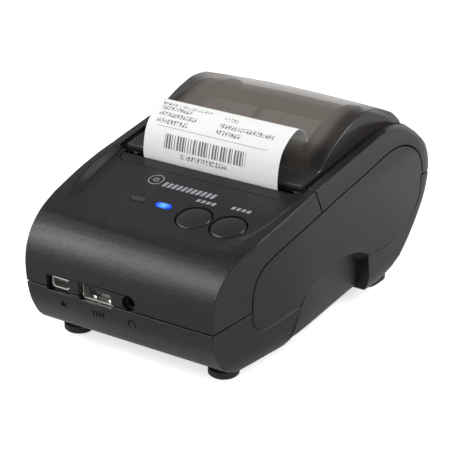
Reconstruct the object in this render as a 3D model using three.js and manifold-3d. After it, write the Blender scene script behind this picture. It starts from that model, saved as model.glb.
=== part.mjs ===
// Portable receipt printer for 57.5 mm thermal paper, in millimetres, +Z up.
// The model is built with the front nose at y = 0 and the table top at z = 0,
// +X to the right seen from the front, and is centred along Y at the end.

import * as THREE from 'three';
import { mergeVertices } from 'three/addons/utils/BufferGeometryUtils.js';
import Module from 'manifold-3d';

const wasm = await Module();
wasm.setup();

// Overall sizes of the case
const LENGTH = 142.8;
const CASE_WIDTH = 91;
const CASE_HEIGHT = 60.9;
const FOOT_HEIGHT = 3;
const WALL = 2.2;
const SEAM = 0.5;
const HALF_WIDTH = CASE_WIDTH / 2;

// Places as shares of the length from the nose, of the half width from the middle, and of the
// height from the top of the feet
const alongBy = (share) => share * LENGTH;
const acrossBy = (share) => share * HALF_WIDTH;
const upBy = (share) => FOOT_HEIGHT + share * CASE_HEIGHT;

// Clearances, the overrun of a cutting tool past what it cuts, and the detail left out of a mesh
const FIT = 0.3;
const TIGHT = 0.15;
const OVER = 2;
const WELD = 0.003;

// Paper, platen and roll
const PAPER_WIDTH = 2 * acrossBy(0.631868);
const PAPER_THICKNESS = 0.4;
const PLATEN_RADIUS = 5;
const PLATEN_Y = alongBy(0.441176);
const SHAFT_RADIUS = 1.5;
const BUSHING_RADIUS = 3;
const ROLL_CORE_RADIUS = 6.5;
const ROLL_CORE_WALL = 1.2;
const ROLL_Y = alongBy(0.686275);

// Paper bay
const BAY_PLATEN_GAP = 3;
const BAY_RADIUS = ROLL_Y - PLATEN_Y - PLATEN_RADIUS - BAY_PLATEN_GAP;
const BAY_WALL = 1.6;
const BAY_SIDE_CLEARANCE = 0.55;
const BAY_FLOOR_Z = upBy(0.339901);
const BAY_RIM_Z = upBy(0.673235);

// Hinge of the lid
const HINGE_INSET = 2;
const HINGE_Z = upBy(0.614122);
const HINGE_PIN_RADIUS = 0.9;
const KNUCKLE_RADIUS = 1.9;
const KNUCKLE_X = acrossBy(0.571429);
const KNUCKLE_WIDTH = 6;

// Smoke window
const DOME_HALF_WIDTH = acrossBy(0.826374);
const DOME_WALL = 2;
const DOME_CROWN = 1.5;
const DOME_CHANNEL = 2.5;

// Control panel, sunk in the sloped top of the upper case
const PANEL_FRONT_Y = alongBy(0.084034);
const PANEL_FRONT_Z = upBy(0.704433);
const PANEL_SLOPE_SHARE = 0.508857;
const PANEL_TILT = Math.atan((PANEL_SLOPE_SHARE * CASE_HEIGHT) / LENGTH);
const SLOT_RUN = 8;
const SLOT_Y = PLATEN_Y - SLOT_RUN;
const SLOT_Z = PANEL_FRONT_Z + (SLOT_Y - PANEL_FRONT_Y) * Math.tan(PANEL_TILT);
const SLOT_V = (SLOT_Y - PANEL_FRONT_Y) / Math.cos(PANEL_TILT);
const PLATEN_DROP = 7.2316;
const PLATEN_Z = SLOT_Z - PLATEN_DROP;
const BUTTON_CENTRES_X = [acrossBy(0.263736), acrossBy(0.575824)];
const BUTTON_RADIUS_SHARE = 0.440141;
const BUTTON_RADIUS = BUTTON_RADIUS_SHARE * (BUTTON_CENTRES_X[1] - BUTTON_CENTRES_X[0]);
const BUTTON_GAP = 0.35;
const BUTTON_V = alongBy(0.121499);
const BUTTON_TRAVEL = 0.5;
const LED_CENTRES_X = [acrossBy(-0.290110), acrossBy(-0.050549)];
const LED_V = alongBy(0.137605);
const LED_LENGTH = 6.2;
const LED_WIDTH = 2.4;

// Gear train: module, teeth and face widths
const GEAR_MODULE = 0.6;
const PINION_TEETH = 10;
const BIG_TEETH = 38;
const SMALL_TEETH = 12;
const PLATEN_TEETH = 16;
const GEAR_BACKLASH = 0.25;
const GEAR_SHIFT = 0.1;
const GEAR_FACE = acrossBy(0.048352);

// Sockets on the front face
const PORT_Z = upBy(0.371100);
const MINI_USB_X = acrossBy(-0.558242);
const USB_A_X = acrossBy(-0.206593);
const JACK_X = acrossBy(0.112088);
const JACK_RISE = 1;
const JACK_Z = PORT_Z + JACK_RISE;
const PORT_RECESS = 3;

// Places of the gear train below the platen, which leans back with the lid's swing
const HINGE_Y = LENGTH - HINGE_INSET;
const IDLER_DROP = ((SMALL_TEETH + PLATEN_TEETH) * GEAR_MODULE) / 2 + GEAR_SHIFT;
const IDLER_LEAN = Math.atan2(PLATEN_Z - HINGE_Z, HINGE_Y - PLATEN_Y);
const IDLER_Y = PLATEN_Y - IDLER_DROP * Math.sin(IDLER_LEAN);
const IDLER_Z = PLATEN_Z - IDLER_DROP * Math.cos(IDLER_LEAN);
const MOTOR_ANGLE = -2.5;
const MOTOR_REACH = ((PINION_TEETH + BIG_TEETH) * GEAR_MODULE) / 2 + GEAR_SHIFT;
const MOTOR_Y = IDLER_Y + MOTOR_REACH * Math.cos(MOTOR_ANGLE);
const MOTOR_Z = IDLER_Z + MOTOR_REACH * Math.sin(MOTOR_ANGLE);

// Points shared by several pieces
const BAY_HALF = PAPER_WIDTH / 2 + BAY_SIDE_CLEARANCE;
const BAY_CENTRE_Z = BAY_FLOOR_Z + BAY_RADIUS;

// Side view of the case, as shares of its length and height, from the front end of the flat
// bottom up the nose, over the top and down the rear, and shares of the full width along the
// length and up the height
const PROFILE_SHARES = [
  [0.1155, 0], [0.0532, 0.0755], [0.0217, 0.1757], [0.0063, 0.2709], [0, 0.3941], [0.0035, 0.509],
  [0.0252, 0.6141], [0.063, 0.6913], [0.119, 0.7471], [0.2395, 0.8177], [0.3873, 0.885],
  [0.5931, 0.9573], [0.7486, 1], [0.8452, 0.9704], [0.9209, 0.8867], [0.9769, 0.7635],
  [1, 0.6076], [0.9874, 0.4433], [0.9454, 0.2791], [0.8789, 0.1149], [0.7948, 0],
];
const PLAN_SHARES = [
  [-0.02, 0.878], [0, 0.881], [0.0595, 0.903], [0.0959, 0.919], [0.161, 0.945], [0.2381, 0.971],
  [0.3046, 0.991], [0.3852, 1], [0.77, 1], [0.875, 0.992], [1, 0.985],
];
const SECTION_SHARES = [
  [-0.05, 0.896], [0, 0.896], [0.05, 0.941], [0.115, 0.962], [0.246, 0.975], [0.443, 0.99],
  [0.69, 1], [0.772, 1], [0.887, 0.963], [1.03, 0.953],
];
const REAR_CORNER_X = 7.5;
const REAR_CORNER_Y = 8.5;

// Side view of the seam around the flush side panel, from the front seam to the rear seam
const PANEL_SEAM_SHARES = [
  [0.1412, 0.3908], [0.1406, 0.4345], [0.1439, 0.4943], [0.1534, 0.5485], [0.1711, 0.5958],
  [0.1939, 0.6274], [0.2599, 0.6786], [0.3387, 0.7213], [0.4135, 0.7546], [0.5189, 0.7902],
  [0.6344, 0.8235], [0.7654, 0.864], [0.848, 0.8358], [0.898, 0.7537], [0.92, 0.658],
];
const REAR_SEAM_Z = upBy(0.586207);
const REAR_SEAM_Y = alongBy(0.9265);
const LID_FRONT_RUN = 3.3;
const LID_FRONT_BOTTOM_Y = SLOT_Y + LID_FRONT_RUN;
const LID_FRONT_BOTTOM_Z = upBy(0.763547);
const LID_FRONT_GAP = 0.1;
const LID_FRONT_TOP_Y = SLOT_Y + LID_FRONT_GAP;

const colour = (hex, roughness, metalness = 0) =>
  new THREE.MeshStandardMaterial({ color: hex, roughness, metalness });
const BLACK_PLASTIC = colour(0x38383a, 0.6);
const INNER_PLASTIC = colour(0x2a2a2c, 0.5);
const SMOKE = colour(0x564c45, 0.15);
const STEEL = colour(0xb8babd, 0.3, 1);
const ALUMINIUM = colour(0xc5c7ca, 0.45, 1);
const BRASS = colour(0xc9a64a, 0.35, 1);
const RUBBER = colour(0x17171a, 0.85);
const PAPER = colour(0xececea, 0.9);
const CARD = colour(0xa98f6c, 0.9);
const WHITE_PLASTIC = colour(0xdedcd4, 0.5);
const BOARD_GREEN = colour(0x1e5a36, 0.5);
const LED_BLUE = colour(0x2f6bff, 0.2);
const LED_DIM = colour(0x4b4b4c, 0.3);
const BATTERY_BLUE = colour(0x2d4f86, 0.5);

// Frames: the shape plane of an extrusion turned to face along X, Y or Z
const ALONG_X = new THREE.Matrix4().makeBasis(
  new THREE.Vector3(0, 1, 0), new THREE.Vector3(0, 0, 1), new THREE.Vector3(1, 0, 0));
const ALONG_Y = new THREE.Matrix4().makeBasis(
  new THREE.Vector3(0, 0, 1), new THREE.Vector3(1, 0, 0), new THREE.Vector3(0, 1, 0));
const ALONG_Z = new THREE.Matrix4();
const WORLD = new THREE.Matrix4();
const PANEL = new THREE.Matrix4()
  .makeTranslation(0, PANEL_FRONT_Y, PANEL_FRONT_Z)
  .multiply(new THREE.Matrix4().makeRotationX(PANEL_TILT));

// Solid geometry helpers

function solid(geometry, frame = WORLD) {
  const bare = geometry.index ? geometry.toNonIndexed() : geometry.clone();
  bare.deleteAttribute('normal');
  bare.deleteAttribute('uv');
  bare.applyMatrix4(frame);
  const merged = mergeVertices(bare, 1e-5);
  return new wasm.Manifold(new wasm.Mesh({
    numProp: 3,
    vertProperties: new Float32Array(merged.attributes.position.array),
    triVerts: new Uint32Array(merged.index.array),
  }));
}

function extrude(points, direction, from, to, frame = WORLD) {
  const shape = new THREE.Shape(points.map(([u, v]) => new THREE.Vector2(u, v)));
  const geometry = new THREE.ExtrudeGeometry(shape, { depth: to - from, bevelEnabled: false });
  geometry.translate(0, 0, from);
  geometry.applyMatrix4(direction);
  return solid(geometry, frame);
}

// Outlines: prismX takes [y, z] points, prismY takes [x, z] and prismZ takes [x, y]
const prismX = (points, x0, x1, frame) => extrude(points, ALONG_X, x0, x1, frame);
const prismY = (points, y0, y1, frame) => extrude(points.map(([x, z]) => [z, x]), ALONG_Y, y0, y1, frame);
const prismZ = (points, z0, z1, frame) => extrude(points, ALONG_Z, z0, z1, frame);

function box(x0, x1, y0, y1, z0, z1, frame) {
  return prismZ([[x0, y0], [x1, y0], [x1, y1], [x0, y1]], z0, z1, frame);
}

function circle(u, v, radius, steps = 24, start = 0) {
  return Array.from({ length: steps }, (_, i) => {
    const angle = start + (2 * Math.PI * i) / steps;
    return [u + radius * Math.cos(angle), v + radius * Math.sin(angle)];
  });
}

function capsule(u, v, length, width, steps = 8) {
  const radius = width / 2;
  const reach = length / 2 - radius;
  const points = [];
  for (let i = 0; i <= steps; i += 1) {
    const angle = -Math.PI / 2 + (Math.PI * i) / steps;
    points.push([u + reach + radius * Math.cos(angle), v + radius * Math.sin(angle)]);
  }
  for (let i = 0; i <= steps; i += 1) {
    const angle = Math.PI / 2 + (Math.PI * i) / steps;
    points.push([u - reach + radius * Math.cos(angle), v + radius * Math.sin(angle)]);
  }
  return points;
}

// A stack of outlines with the same number of points, closed by a fan at both ends
function loft(rings) {
  const count = rings[0].length;
  const positions = rings.flat(2);
  const middle = (ring) => [0, 1, 2].map((k) => ring.reduce((sum, p) => sum + p[k], 0) / count);
  positions.push(...middle(rings[0]), ...middle(rings[rings.length - 1]));
  const first = rings.length * count;
  const index = [];
  for (let r = 0; r < rings.length - 1; r += 1) {
    for (let i = 0; i < count; i += 1) {
      const a = r * count + i;
      const b = r * count + ((i + 1) % count);
      index.push(a, b, b + count, a, b + count, a + count);
    }
  }
  const last = (rings.length - 1) * count;
  for (let i = 0; i < count; i += 1) {
    const next = (i + 1) % count;
    index.push(first, next, i, first + 1, last + i, last + next);
  }
  const geometry = new THREE.BufferGeometry();
  geometry.setAttribute('position', new THREE.Float32BufferAttribute(positions, 3));
  geometry.setIndex(index);
  return solid(geometry);
}

function union(solids) {
  return solids.reduce((sum, next) => sum.add(next));
}

function mirrored(build) {
  return [-1, 1].map(build);
}

function mesh(name, shape, material) {
  const result = shape.simplify(WELD).getMesh();
  const geometry = new THREE.BufferGeometry();
  geometry.setAttribute('position', new THREE.BufferAttribute(new Float32Array(result.vertProperties), 3));
  geometry.setIndex(new THREE.BufferAttribute(new Uint32Array(result.triVerts), 1));
  geometry.computeVertexNormals();
  const piece = new THREE.Mesh(geometry, material);
  piece.name = name;
  return piece;
}

// Curves and offsets

function smooth(points, steps) {
  const curve = new THREE.SplineCurve(points.map(([u, v]) => new THREE.Vector2(u, v)));
  return curve.getPoints((points.length - 1) * steps).map((p) => [p.x, p.y]);
}

function offset(points, distance, closed) {
  const last = points.length - 1;
  return points.map((point, i) => {
    const before = points[i > 0 ? i - 1 : (closed ? last : 0)];
    const after = points[i < last ? i + 1 : (closed ? 0 : last)];
    const du = after[0] - before[0];
    const dv = after[1] - before[1];
    const size = Math.hypot(du, dv);
    return [point[0] - (distance * dv) / size, point[1] + (distance * du) / size];
  });
}

function lookUp(table, at) {
  let i = 1;
  while (i < table.length - 1 && table[i][0] < at) i += 1;
  const [u0, v0] = table[i - 1];
  const [u1, v1] = table[i];
  const share = Math.min(1, Math.max(0, (at - u0) / (u1 - u0)));
  return v0 + (v1 - v0) * share;
}

const fromShares = (shares) => shares.map(([y, z]) => [y * LENGTH, FOOT_HEIGHT + z * CASE_HEIGHT]);

// Outer form of the case: its side view drawn out along X, cut by a loft of plan outlines.
// The profile runs clockwise seen from +X, so a negative offset goes inwards.
const PROFILE = smooth(fromShares(PROFILE_SHARES), 3).map(([y, z]) => [Math.max(0, y), z]);
const TOP_INDEX = PROFILE.reduce((best, p, i) => (p[1] > PROFILE[best][1] ? i : best), 0);
const REAR_SIDE = PROFILE.slice(TOP_INDEX).reverse().map(([y, z]) => [z, y]);
const REAR_OVERRUN = 0.3;
const LEVELS = [FOOT_HEIGHT - OVER, ...REAR_SIDE.map(([z]) => z), FOOT_HEIGHT + CASE_HEIGHT + OVER];

function planRing(z, inset) {
  const heightShare = (z - FOOT_HEIGHT) / CASE_HEIGHT;
  const section = lookUp(SECTION_SHARES, heightShare);
  const rearY = lookUp(REAR_SIDE, z) + REAR_OVERRUN - inset;
  const cornerX = REAR_CORNER_X - inset;
  const cornerY = REAR_CORNER_Y - inset;
  const side = [];
  for (const [share] of PLAN_SHARES) {
    const y = share * LENGTH < 0 ? share * LENGTH : share * (rearY - cornerY);
    side.push([HALF_WIDTH * section * lookUp(PLAN_SHARES, y / LENGTH) - inset, y]);
  }
  const [sideX, sideY] = side[side.length - 1];
  const cornerSteps = 6;
  for (let i = 1; i <= cornerSteps; i += 1) {
    const angle = (Math.PI / 2) * (i / cornerSteps);
    side.push([sideX - cornerX * (1 - Math.cos(angle)), sideY + cornerY * Math.sin(angle)]);
  }
  const left = side.map(([x, y]) => [-x, y]).reverse();
  return [...side, ...left].map(([x, y]) => [x, y, z]);
}

function caseForm(inset) {
  const profile = inset === 0 ? PROFILE : offset(PROFILE, -inset, true);
  const levels = LEVELS.filter((_, i) => inset <= 0 || i % 2 === 0);
  const rings = levels.map((z) => planRing(z, inset));
  return prismX(profile, -HALF_WIDTH, HALF_WIDTH).intersect(loft(rings));
}

// Side scoop: a hollow that gets deeper to the rear, under a crease that fades out to the
// front, and ends in a forward-facing wall
const SCOOP_START_Y = alongBy(0.2975);
const SCOOP_END_TOP_Y = alongBy(0.654762);
const SCOOP_END_BOTTOM_Y = alongBy(0.686275);
const SCOOP_DEPTH = 4.3;
const SCOOP_LEAD_IN = 0.06;
const SCOOP_SLOPE = 0.8;
const SCOOP_GROWTH = 1.3;
const SCOOP_RINGS = 16;
const SCOOP_LEVEL_SHARES = [0.75, 0.5, 0.22, 0];
const SCOOP_CREASE_SHARES = [
  [0, 0.06], [0.0745, 0.2067], [0.1288, 0.2587], [0.1721, 0.2894], [0.3051, 0.338], [0.48, 0.368],
  [0.6, 0.378], [0.76, 0.3629], [0.849, 0.3451], [0.943, 0.3107], [1, 0.278],
];
const SCOOP_CREASE = smooth(SCOOP_CREASE_SHARES, 3);

function sideX(y, z) {
  const section = lookUp(SECTION_SHARES, (z - FOOT_HEIGHT) / CASE_HEIGHT);
  return HALF_WIDTH * section * lookUp(PLAN_SHARES, y / LENGTH);
}

function scoopRing(side, along, grow) {
  const y = SCOOP_START_Y + along * (SCOOP_END_TOP_Y - SCOOP_START_Y);
  const outer = HALF_WIDTH + OVER;
  const low = FOOT_HEIGHT - OVER;
  const top = FOOT_HEIGHT + lookUp(SCOOP_CREASE, along) * CASE_HEIGHT + grow;
  const depth = SCOOP_DEPTH * along ** SCOOP_GROWTH - SCOOP_LEAD_IN * (1 - along) + grow;
  const knee = top - Math.max(TIGHT, depth * SCOOP_SLOPE);
  const levels = [1, ...SCOOP_LEVEL_SHARES].map((share) => FOOT_HEIGHT + share * (knee - FOOT_HEIGHT));
  levels.push(low);
  const inner = levels.map((z) => [sideX(y, z) - depth, z]);
  const corners = [...inner, [outer, low], [outer, top + OVER], [sideX(y, top) + TIGHT, top]];
  const lean = along * (SCOOP_END_BOTTOM_Y - SCOOP_END_TOP_Y);
  const end = along < 1 ? 0 : grow;
  const ring = corners.map(([x, z]) => [side * x, y + end + (lean * (top - z)) / (top - low), z]);
  return side > 0 ? ring.reverse() : ring;
}

function scoop(side, grow) {
  return loft(Array.from({ length: SCOOP_RINGS + 1 }, (_, i) => scoopRing(side, i / SCOOP_RINGS, grow)));
}

// Underside: raised between the front and rear feet where the battery door is
const RAISE_START_Y = alongBy(0.304622);
const RAISE_END_Y = alongBy(0.684874);
const RAISE_HEIGHT = 2.3;
const RAISE_SLOPE_RUN = 2.5;
const FLOOR_Z = FOOT_HEIGHT + RAISE_HEIGHT;

function undersideRaise(grow) {
  const low = FOOT_HEIGHT - OVER;
  const high = FLOOR_Z + grow;
  return prismX([
    [RAISE_START_Y - grow, low], [RAISE_START_Y - grow, FOOT_HEIGHT + grow],
    [RAISE_START_Y - grow + RAISE_SLOPE_RUN, high], [RAISE_END_Y + grow - RAISE_SLOPE_RUN / 2, high],
    [RAISE_END_Y + grow, FOOT_HEIGHT + grow], [RAISE_END_Y + grow, low],
  ], -HALF_WIDTH - OVER, HALF_WIDTH + OVER);
}

// Shallow grooves that go on round the flush side panel: in front from the split down and back
// to the scoop, and behind from the rear seam down to the scoop's end
const FRONT_GROOVE_SIZE = { width: 0.5, depth: 0.5 };
const REAR_GROOVE_SIZE = { width: 0.36, depth: 0.3 };
const FRONT_GROOVE_SHARES = [
  [0.1417, 0.378], [0.1421, 0.35], [0.1427, 0.3218], [0.1471, 0.2899], [0.157, 0.2535],
  [0.1708, 0.2298], [0.1833, 0.2168], [0.1978, 0.2142], [0.2461, 0.2223], [0.2967, 0.2301],
  [0.345, 0.2365],
];
const REAR_GROOVE_SHARES = [
  [0.9207, 0.594], [0.9208, 0.4964], [0.9104, 0.4206], [0.8881, 0.3649], [0.8532, 0.3095],
  [0.8167, 0.2774], [0.7671, 0.2572], [0.701, 0.2647], [0.6559, 0.278],
];

function sideGroove(shares, { width, depth }) {
  const line = smooth(fromShares(shares), 2);
  const band = [...offset(line, width / 2, false), ...offset(line, -width / 2, false).reverse()];
  return prismX(band, -HALF_WIDTH - OVER, HALF_WIDTH + OVER).subtract(caseForm(depth));
}

function sideGrooves() {
  return sideGroove(FRONT_GROOVE_SHARES, FRONT_GROOVE_SIZE)
    .add(sideGroove(REAR_GROOVE_SHARES, REAR_GROOVE_SIZE));
}

const relief = (grow) => union([undersideRaise(grow), ...mirrored((side) => scoop(side, grow))]);
const OUTER = caseForm(0).subtract(relief(0));
const CAVITY = caseForm(WALL).subtract(relief(WALL));
const SHELL = OUTER.subtract(CAVITY);

// Seams in side view. Each takes the half gap by which a region stands back from the seam.
const FAR = LENGTH + OVER;
const HIGH = CASE_HEIGHT + FOOT_HEIGHT + OVER;
const PANEL_SEAM = smooth(fromShares(PANEL_SEAM_SHARES), 3);
const SPLIT_Z = upBy(0.341544);
const SPLIT_RISE = 1.1;
const RIM_CLEARANCE = 0.35;
const SKIRT_DROP = 1.4;
const SKIRT_SWEEP = Math.hypot(HINGE_INSET, SKIRT_DROP);

function seam(gap) {
  const panelSplitZ = SPLIT_Z + SPLIT_RISE;
  const panel = offset(PANEL_SEAM, gap, false).filter(([, z]) => z > panelSplitZ + 2 * SEAM);
  const rear = gap < 0
    ? [[REAR_SEAM_Y + gap, REAR_SEAM_Z + gap], [HINGE_Y - KNUCKLE_RADIUS * 2, REAR_SEAM_Z + gap],
      [HINGE_Y - KNUCKLE_RADIUS, HINGE_Z - SKIRT_SWEEP - RIM_CLEARANCE],
      [FAR, HINGE_Z - SKIRT_SWEEP - RIM_CLEARANCE]]
    : [[REAR_SEAM_Y + gap, HINGE_Z - SKIRT_DROP], [FAR, HINGE_Z - SKIRT_DROP]];
  const split = [[-OVER, SPLIT_Z + gap], [OVER, SPLIT_Z + gap], [panel[0][0], panelSplitZ + gap]];
  return [...split, ...panel, ...rear];
}

const belowSeam = [...seam(-SEAM / 2), [FAR, -OVER], [-OVER, -OVER]];
const aboveSeam = [...seam(SEAM / 2), [FAR, HIGH], [-OVER, HIGH]];
const SPAN = HALF_WIDTH + OVER;
const LOWER_REGION = prismX(belowSeam, -SPAN, SPAN);
const ABOVE_REGION = prismX(aboveSeam, -SPAN, SPAN);

// The lid's front edge: upright, then leaning forward as the top surface does
function frontSeam(gap, endY) {
  return prismX([
    [LID_FRONT_BOTTOM_Y + gap, 0], [LID_FRONT_BOTTOM_Y + gap, LID_FRONT_BOTTOM_Z],
    [LID_FRONT_TOP_Y + gap, HIGH], [endY, HIGH], [endY, 0],
  ], -SPAN, SPAN);
}
const UPPER_REGION = ABOVE_REGION.intersect(frontSeam(-SEAM / 2, -OVER));
const LID_REGION = ABOVE_REGION.intersect(frontSeam(SEAM / 2, FAR));

// Height of the case top at a place along its length, and a band that follows it
const TOP_SIDE = PROFILE.slice(0, TOP_INDEX + 1).filter(([y], i) => i > PROFILE_SHARES.length / 2 && y > 0);
const TOP_LINE = [...TOP_SIDE, ...PROFILE.slice(TOP_INDEX + 1).filter(([, z]) => z > HINGE_Z)];
const topAt = (y) => lookUp(TOP_LINE, y);

function stations(y0, y1) {
  return [y0, ...TOP_LINE.map(([y]) => y).filter((y) => y > y0 + TIGHT && y < y1 - TIGHT), y1];
}

function topBand(y0, y1, above, below, x0, x1) {
  const along = stations(y0, y1);
  const upper = along.map((y) => [y, topAt(y) - above]);
  const lower = along.map((y) => [y, topAt(y) - below]).reverse();
  return prismX([...upper, ...lower], x0, x1);
}

// Screw bosses and screws that join the lower case to the upper case and the paper bay
const BOSS_RADIUS = 3;
const BOSS_WALL_SHARE = 0.969231;
const BOSS_X = acrossBy(BOSS_WALL_SHARE) - SCOOP_DEPTH - WALL - BOSS_RADIUS - FIT;
const POST_MOTOR_RUN = 7.5570;
const POST_BOSS_RUN = 6;
const MECHANISM_POST_Y = MOTOR_Y - POST_MOTOR_RUN;
const BOSS_FRONT_Y = MECHANISM_POST_Y - POST_BOSS_RUN;
const BOSS_REAR_Y = alongBy(0.709384);
const BOSS_PLACES = [[-1, BOSS_FRONT_Y], [1, BOSS_FRONT_Y], [-1, BOSS_REAR_Y], [1, BOSS_REAR_Y]];
const BOSS_TOP_Z = 12;
const SCREW_SHANK_RADIUS = 1.25;
const SCREW_HEAD_RADIUS = 2.5;
const SCREW_HEAD_Z = 4;
const SCREW_HEAD_HEIGHT = 2.6;
const SCREW_GRIP = 6;
const MECHANISM_POST_X = acrossBy(0.813187);
const MECHANISM_POST_RADIUS = 2.5;
const FRAME_DROP = 9.8;
const FRAME_Z = PLATEN_Z - FRAME_DROP;
const FRAME_PLATE = 1.8;
const FRAME_SIDE_X = acrossBy(0.681319);
const FRAME_SIDE = acrossBy(0.043956);
const BOARD_DROP = 5;
const BOARD_Z = PORT_Z - BOARD_DROP;
const BOARD_THICKNESS = 1.6;
const BOARD_BOSS_GAP = 1.3;
const BOARD_HALF = BOSS_X - BOSS_RADIUS - BOARD_BOSS_GAP;
const BOARD_FRONT_Y = 4.5;
const BOARD_POST_RUN = 2;
const BOARD_REAR_Y = MECHANISM_POST_Y - BOARD_POST_RUN;
const BOARD_POST_RADIUS = 2;
const BOARD_POST_INSET = 3;

const cylinderZ = (x, y, radius, z0, z1, steps = 20) => prismZ(circle(x, y, radius, steps), z0, z1);
const cylinderX = (y, z, radius, x0, x1, steps = 24) => prismX(circle(y, z, radius, steps), x0, x1);
const cylinderY = (x, z, radius, y0, y1, steps = 24) => prismY(circle(x, z, radius, steps), y0, y1);

function screw(x, y, headZ, headHeight, headRadius, shankRadius, tipZ, material, name) {
  const driveRadius = headRadius / 2;
  const head = cylinderZ(x, y, headRadius, Math.min(headZ, headZ + headHeight),
    Math.max(headZ, headZ + headHeight), 16);
  const shank = cylinderZ(x, y, shankRadius, Math.min(headZ + headHeight / 2, tipZ),
    Math.max(headZ + headHeight / 2, tipZ), 12);
  const drive = cylinderZ(x, y, driveRadius, Math.min(headZ - headHeight, headZ + headHeight / 2),
    Math.max(headZ - headHeight, headZ + headHeight / 2), 6);
  return mesh(name, head.subtract(drive).add(shank.subtract(drive)), material);
}

// Openings of the front face for the sockets
const MINI_USB_OPENING = [9.8, 6];
const USB_A_OPENING = [13.7, 6.3];
const JACK_HOLE_RADIUS = 2.7;
const PORT_CUT_DEPTH = WALL * 2;

function portCut() {
  const slot = (x, [width, height]) => box(
    x - width / 2, x + width / 2, -OVER, PORT_CUT_DEPTH, PORT_Z - height / 2, PORT_Z + height / 2);
  return union([
    slot(MINI_USB_X, MINI_USB_OPENING),
    slot(USB_A_X, USB_A_OPENING),
    cylinderY(JACK_X, JACK_Z, JACK_HOLE_RADIUS, -OVER, PORT_CUT_DEPTH),
  ]);
}
const PORT_CUT = portCut();

// Battery, its opening in the floor and the sliding door with four hooks
const BATTERY_WIDTH = 2 * acrossBy(0.560440);
const BATTERY_LENGTH = alongBy(0.224090);
const BATTERY_Y = alongBy(0.471289);
const BATTERY_CLEARANCE = 0.5;
const DOOR_HALF = acrossBy(0.703297);
const DOOR_FRONT_Y = alongBy(0.340336);
const DOOR_REAR_Y = alongBy(0.602241);
const DOOR_THICKNESS = 1.8;
const DOOR_TRAVEL = 8;
const HOOK_X = acrossBy(0.610989);
const HOOK_NECK = 1.4;
const HOOK_LENGTH = 3;
const HOOK_HEAD = 3.2;
const HOOK_HEAD_THICKNESS = 1.2;
const HOOK_PLACES_Y = [alongBy(0.378151), alongBy(0.504202)];
const INNER_FLOOR_Z = FLOOR_Z + WALL;

function batteryOpening() {
  const halfWidth = BATTERY_WIDTH / 2 + BATTERY_CLEARANCE;
  const halfLength = BATTERY_LENGTH / 2 + BATTERY_CLEARANCE;
  return box(-halfWidth, halfWidth, BATTERY_Y - halfLength, BATTERY_Y + halfLength,
    FOOT_HEIGHT - OVER, INNER_FLOOR_Z + OVER);
}

function keyholes() {
  const low = FOOT_HEIGHT;
  const high = INNER_FLOOR_Z + OVER;
  return union(HOOK_PLACES_Y.flatMap((y) => mirrored((side) => {
    const inner = side * (HOOK_X - FIT);
    const neck = side * (HOOK_X + HOOK_NECK + FIT);
    const head = side * (HOOK_X + HOOK_HEAD + FIT);
    const slotEnd = y + HOOK_LENGTH + DOOR_TRAVEL + FIT;
    const narrow = box(Math.min(inner, neck), Math.max(inner, neck), y - FIT, slotEnd, low, high);
    const wide = box(Math.min(inner, head), Math.max(inner, head), slotEnd - HOOK_LENGTH - 2 * FIT,
      slotEnd, low, high);
    return narrow.add(wide);
  })));
}

function batteryDoor() {
  const top = FLOOR_Z - FIT;
  const plate = box(-DOOR_HALF, DOOR_HALF, DOOR_FRONT_Y, DOOR_REAR_Y, top - DOOR_THICKNESS, top);
  const hooks = HOOK_PLACES_Y.flatMap((y) => mirrored((side) => {
    const headZ = INNER_FLOOR_Z + FIT;
    const a = side * HOOK_X;
    const b = side * (HOOK_X + HOOK_NECK);
    const c = side * (HOOK_X + HOOK_HEAD);
    const neck = box(Math.min(a, b), Math.max(a, b), y, y + HOOK_LENGTH, top - DOOR_THICKNESS / 2,
      headZ + HOOK_HEAD_THICKNESS);
    const head = box(Math.min(a, c), Math.max(a, c), y, y + HOOK_LENGTH, headZ,
      headZ + HOOK_HEAD_THICKNESS);
    return neck.add(head);
  }));
  return union([plate, ...hooks]);
}

// Hinge knuckles on both sides of each case lug
const KNUCKLE_GAP = 0.4;
const LID_KNUCKLE_WIDTH = 4.5;
const LUG_NOTCH_RADIUS = KNUCKLE_RADIUS + 0.6;

function caseLugs() {
  return union(mirrored((side) => {
    const x0 = side * KNUCKLE_X - KNUCKLE_WIDTH / 2;
    const x1 = side * KNUCKLE_X + KNUCKLE_WIDTH / 2;
    const ring = cylinderX(HINGE_Y, HINGE_Z, KNUCKLE_RADIUS, x0, x1);
    const tongue = box(x0, x1, HINGE_Y - KNUCKLE_RADIUS + TIGHT, HINGE_Y + KNUCKLE_RADIUS - TIGHT,
      HINGE_Z - SKIRT_SWEEP - WALL * 2, HINGE_Z);
    return ring.add(tongue.intersect(caseForm(0)));
  }));
}

function lidKnuckles() {
  return union(mirrored((side) => union([-1, 1].map((end) => {
    const near = side * KNUCKLE_X + end * (KNUCKLE_WIDTH / 2 + KNUCKLE_GAP);
    const far = near + end * LID_KNUCKLE_WIDTH;
    const ring = cylinderX(HINGE_Y, HINGE_Z, KNUCKLE_RADIUS, Math.min(near, far), Math.max(near, far));
    const root = box(Math.min(near, far), Math.max(near, far), HINGE_Y - KNUCKLE_RADIUS + TIGHT,
      HINGE_Y + KNUCKLE_RADIUS / 2, HINGE_Z, HINGE_Z + KNUCKLE_RADIUS + WALL);
    return ring.add(root.intersect(caseForm(0)));
  }))));
}

function lugNotches() {
  const reach = KNUCKLE_WIDTH / 2 + KNUCKLE_GAP;
  return union(mirrored((side) => {
    const x0 = side * KNUCKLE_X - reach;
    const x1 = side * KNUCKLE_X + reach;
    const round = cylinderX(HINGE_Y, HINGE_Z, LUG_NOTCH_RADIUS, x0, x1);
    const open = box(x0, x1, HINGE_Y - LUG_NOTCH_RADIUS, LENGTH + OVER, HINGE_Z - LUG_NOTCH_RADIUS, HINGE_Z);
    return round.add(open);
  }));
}

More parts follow.
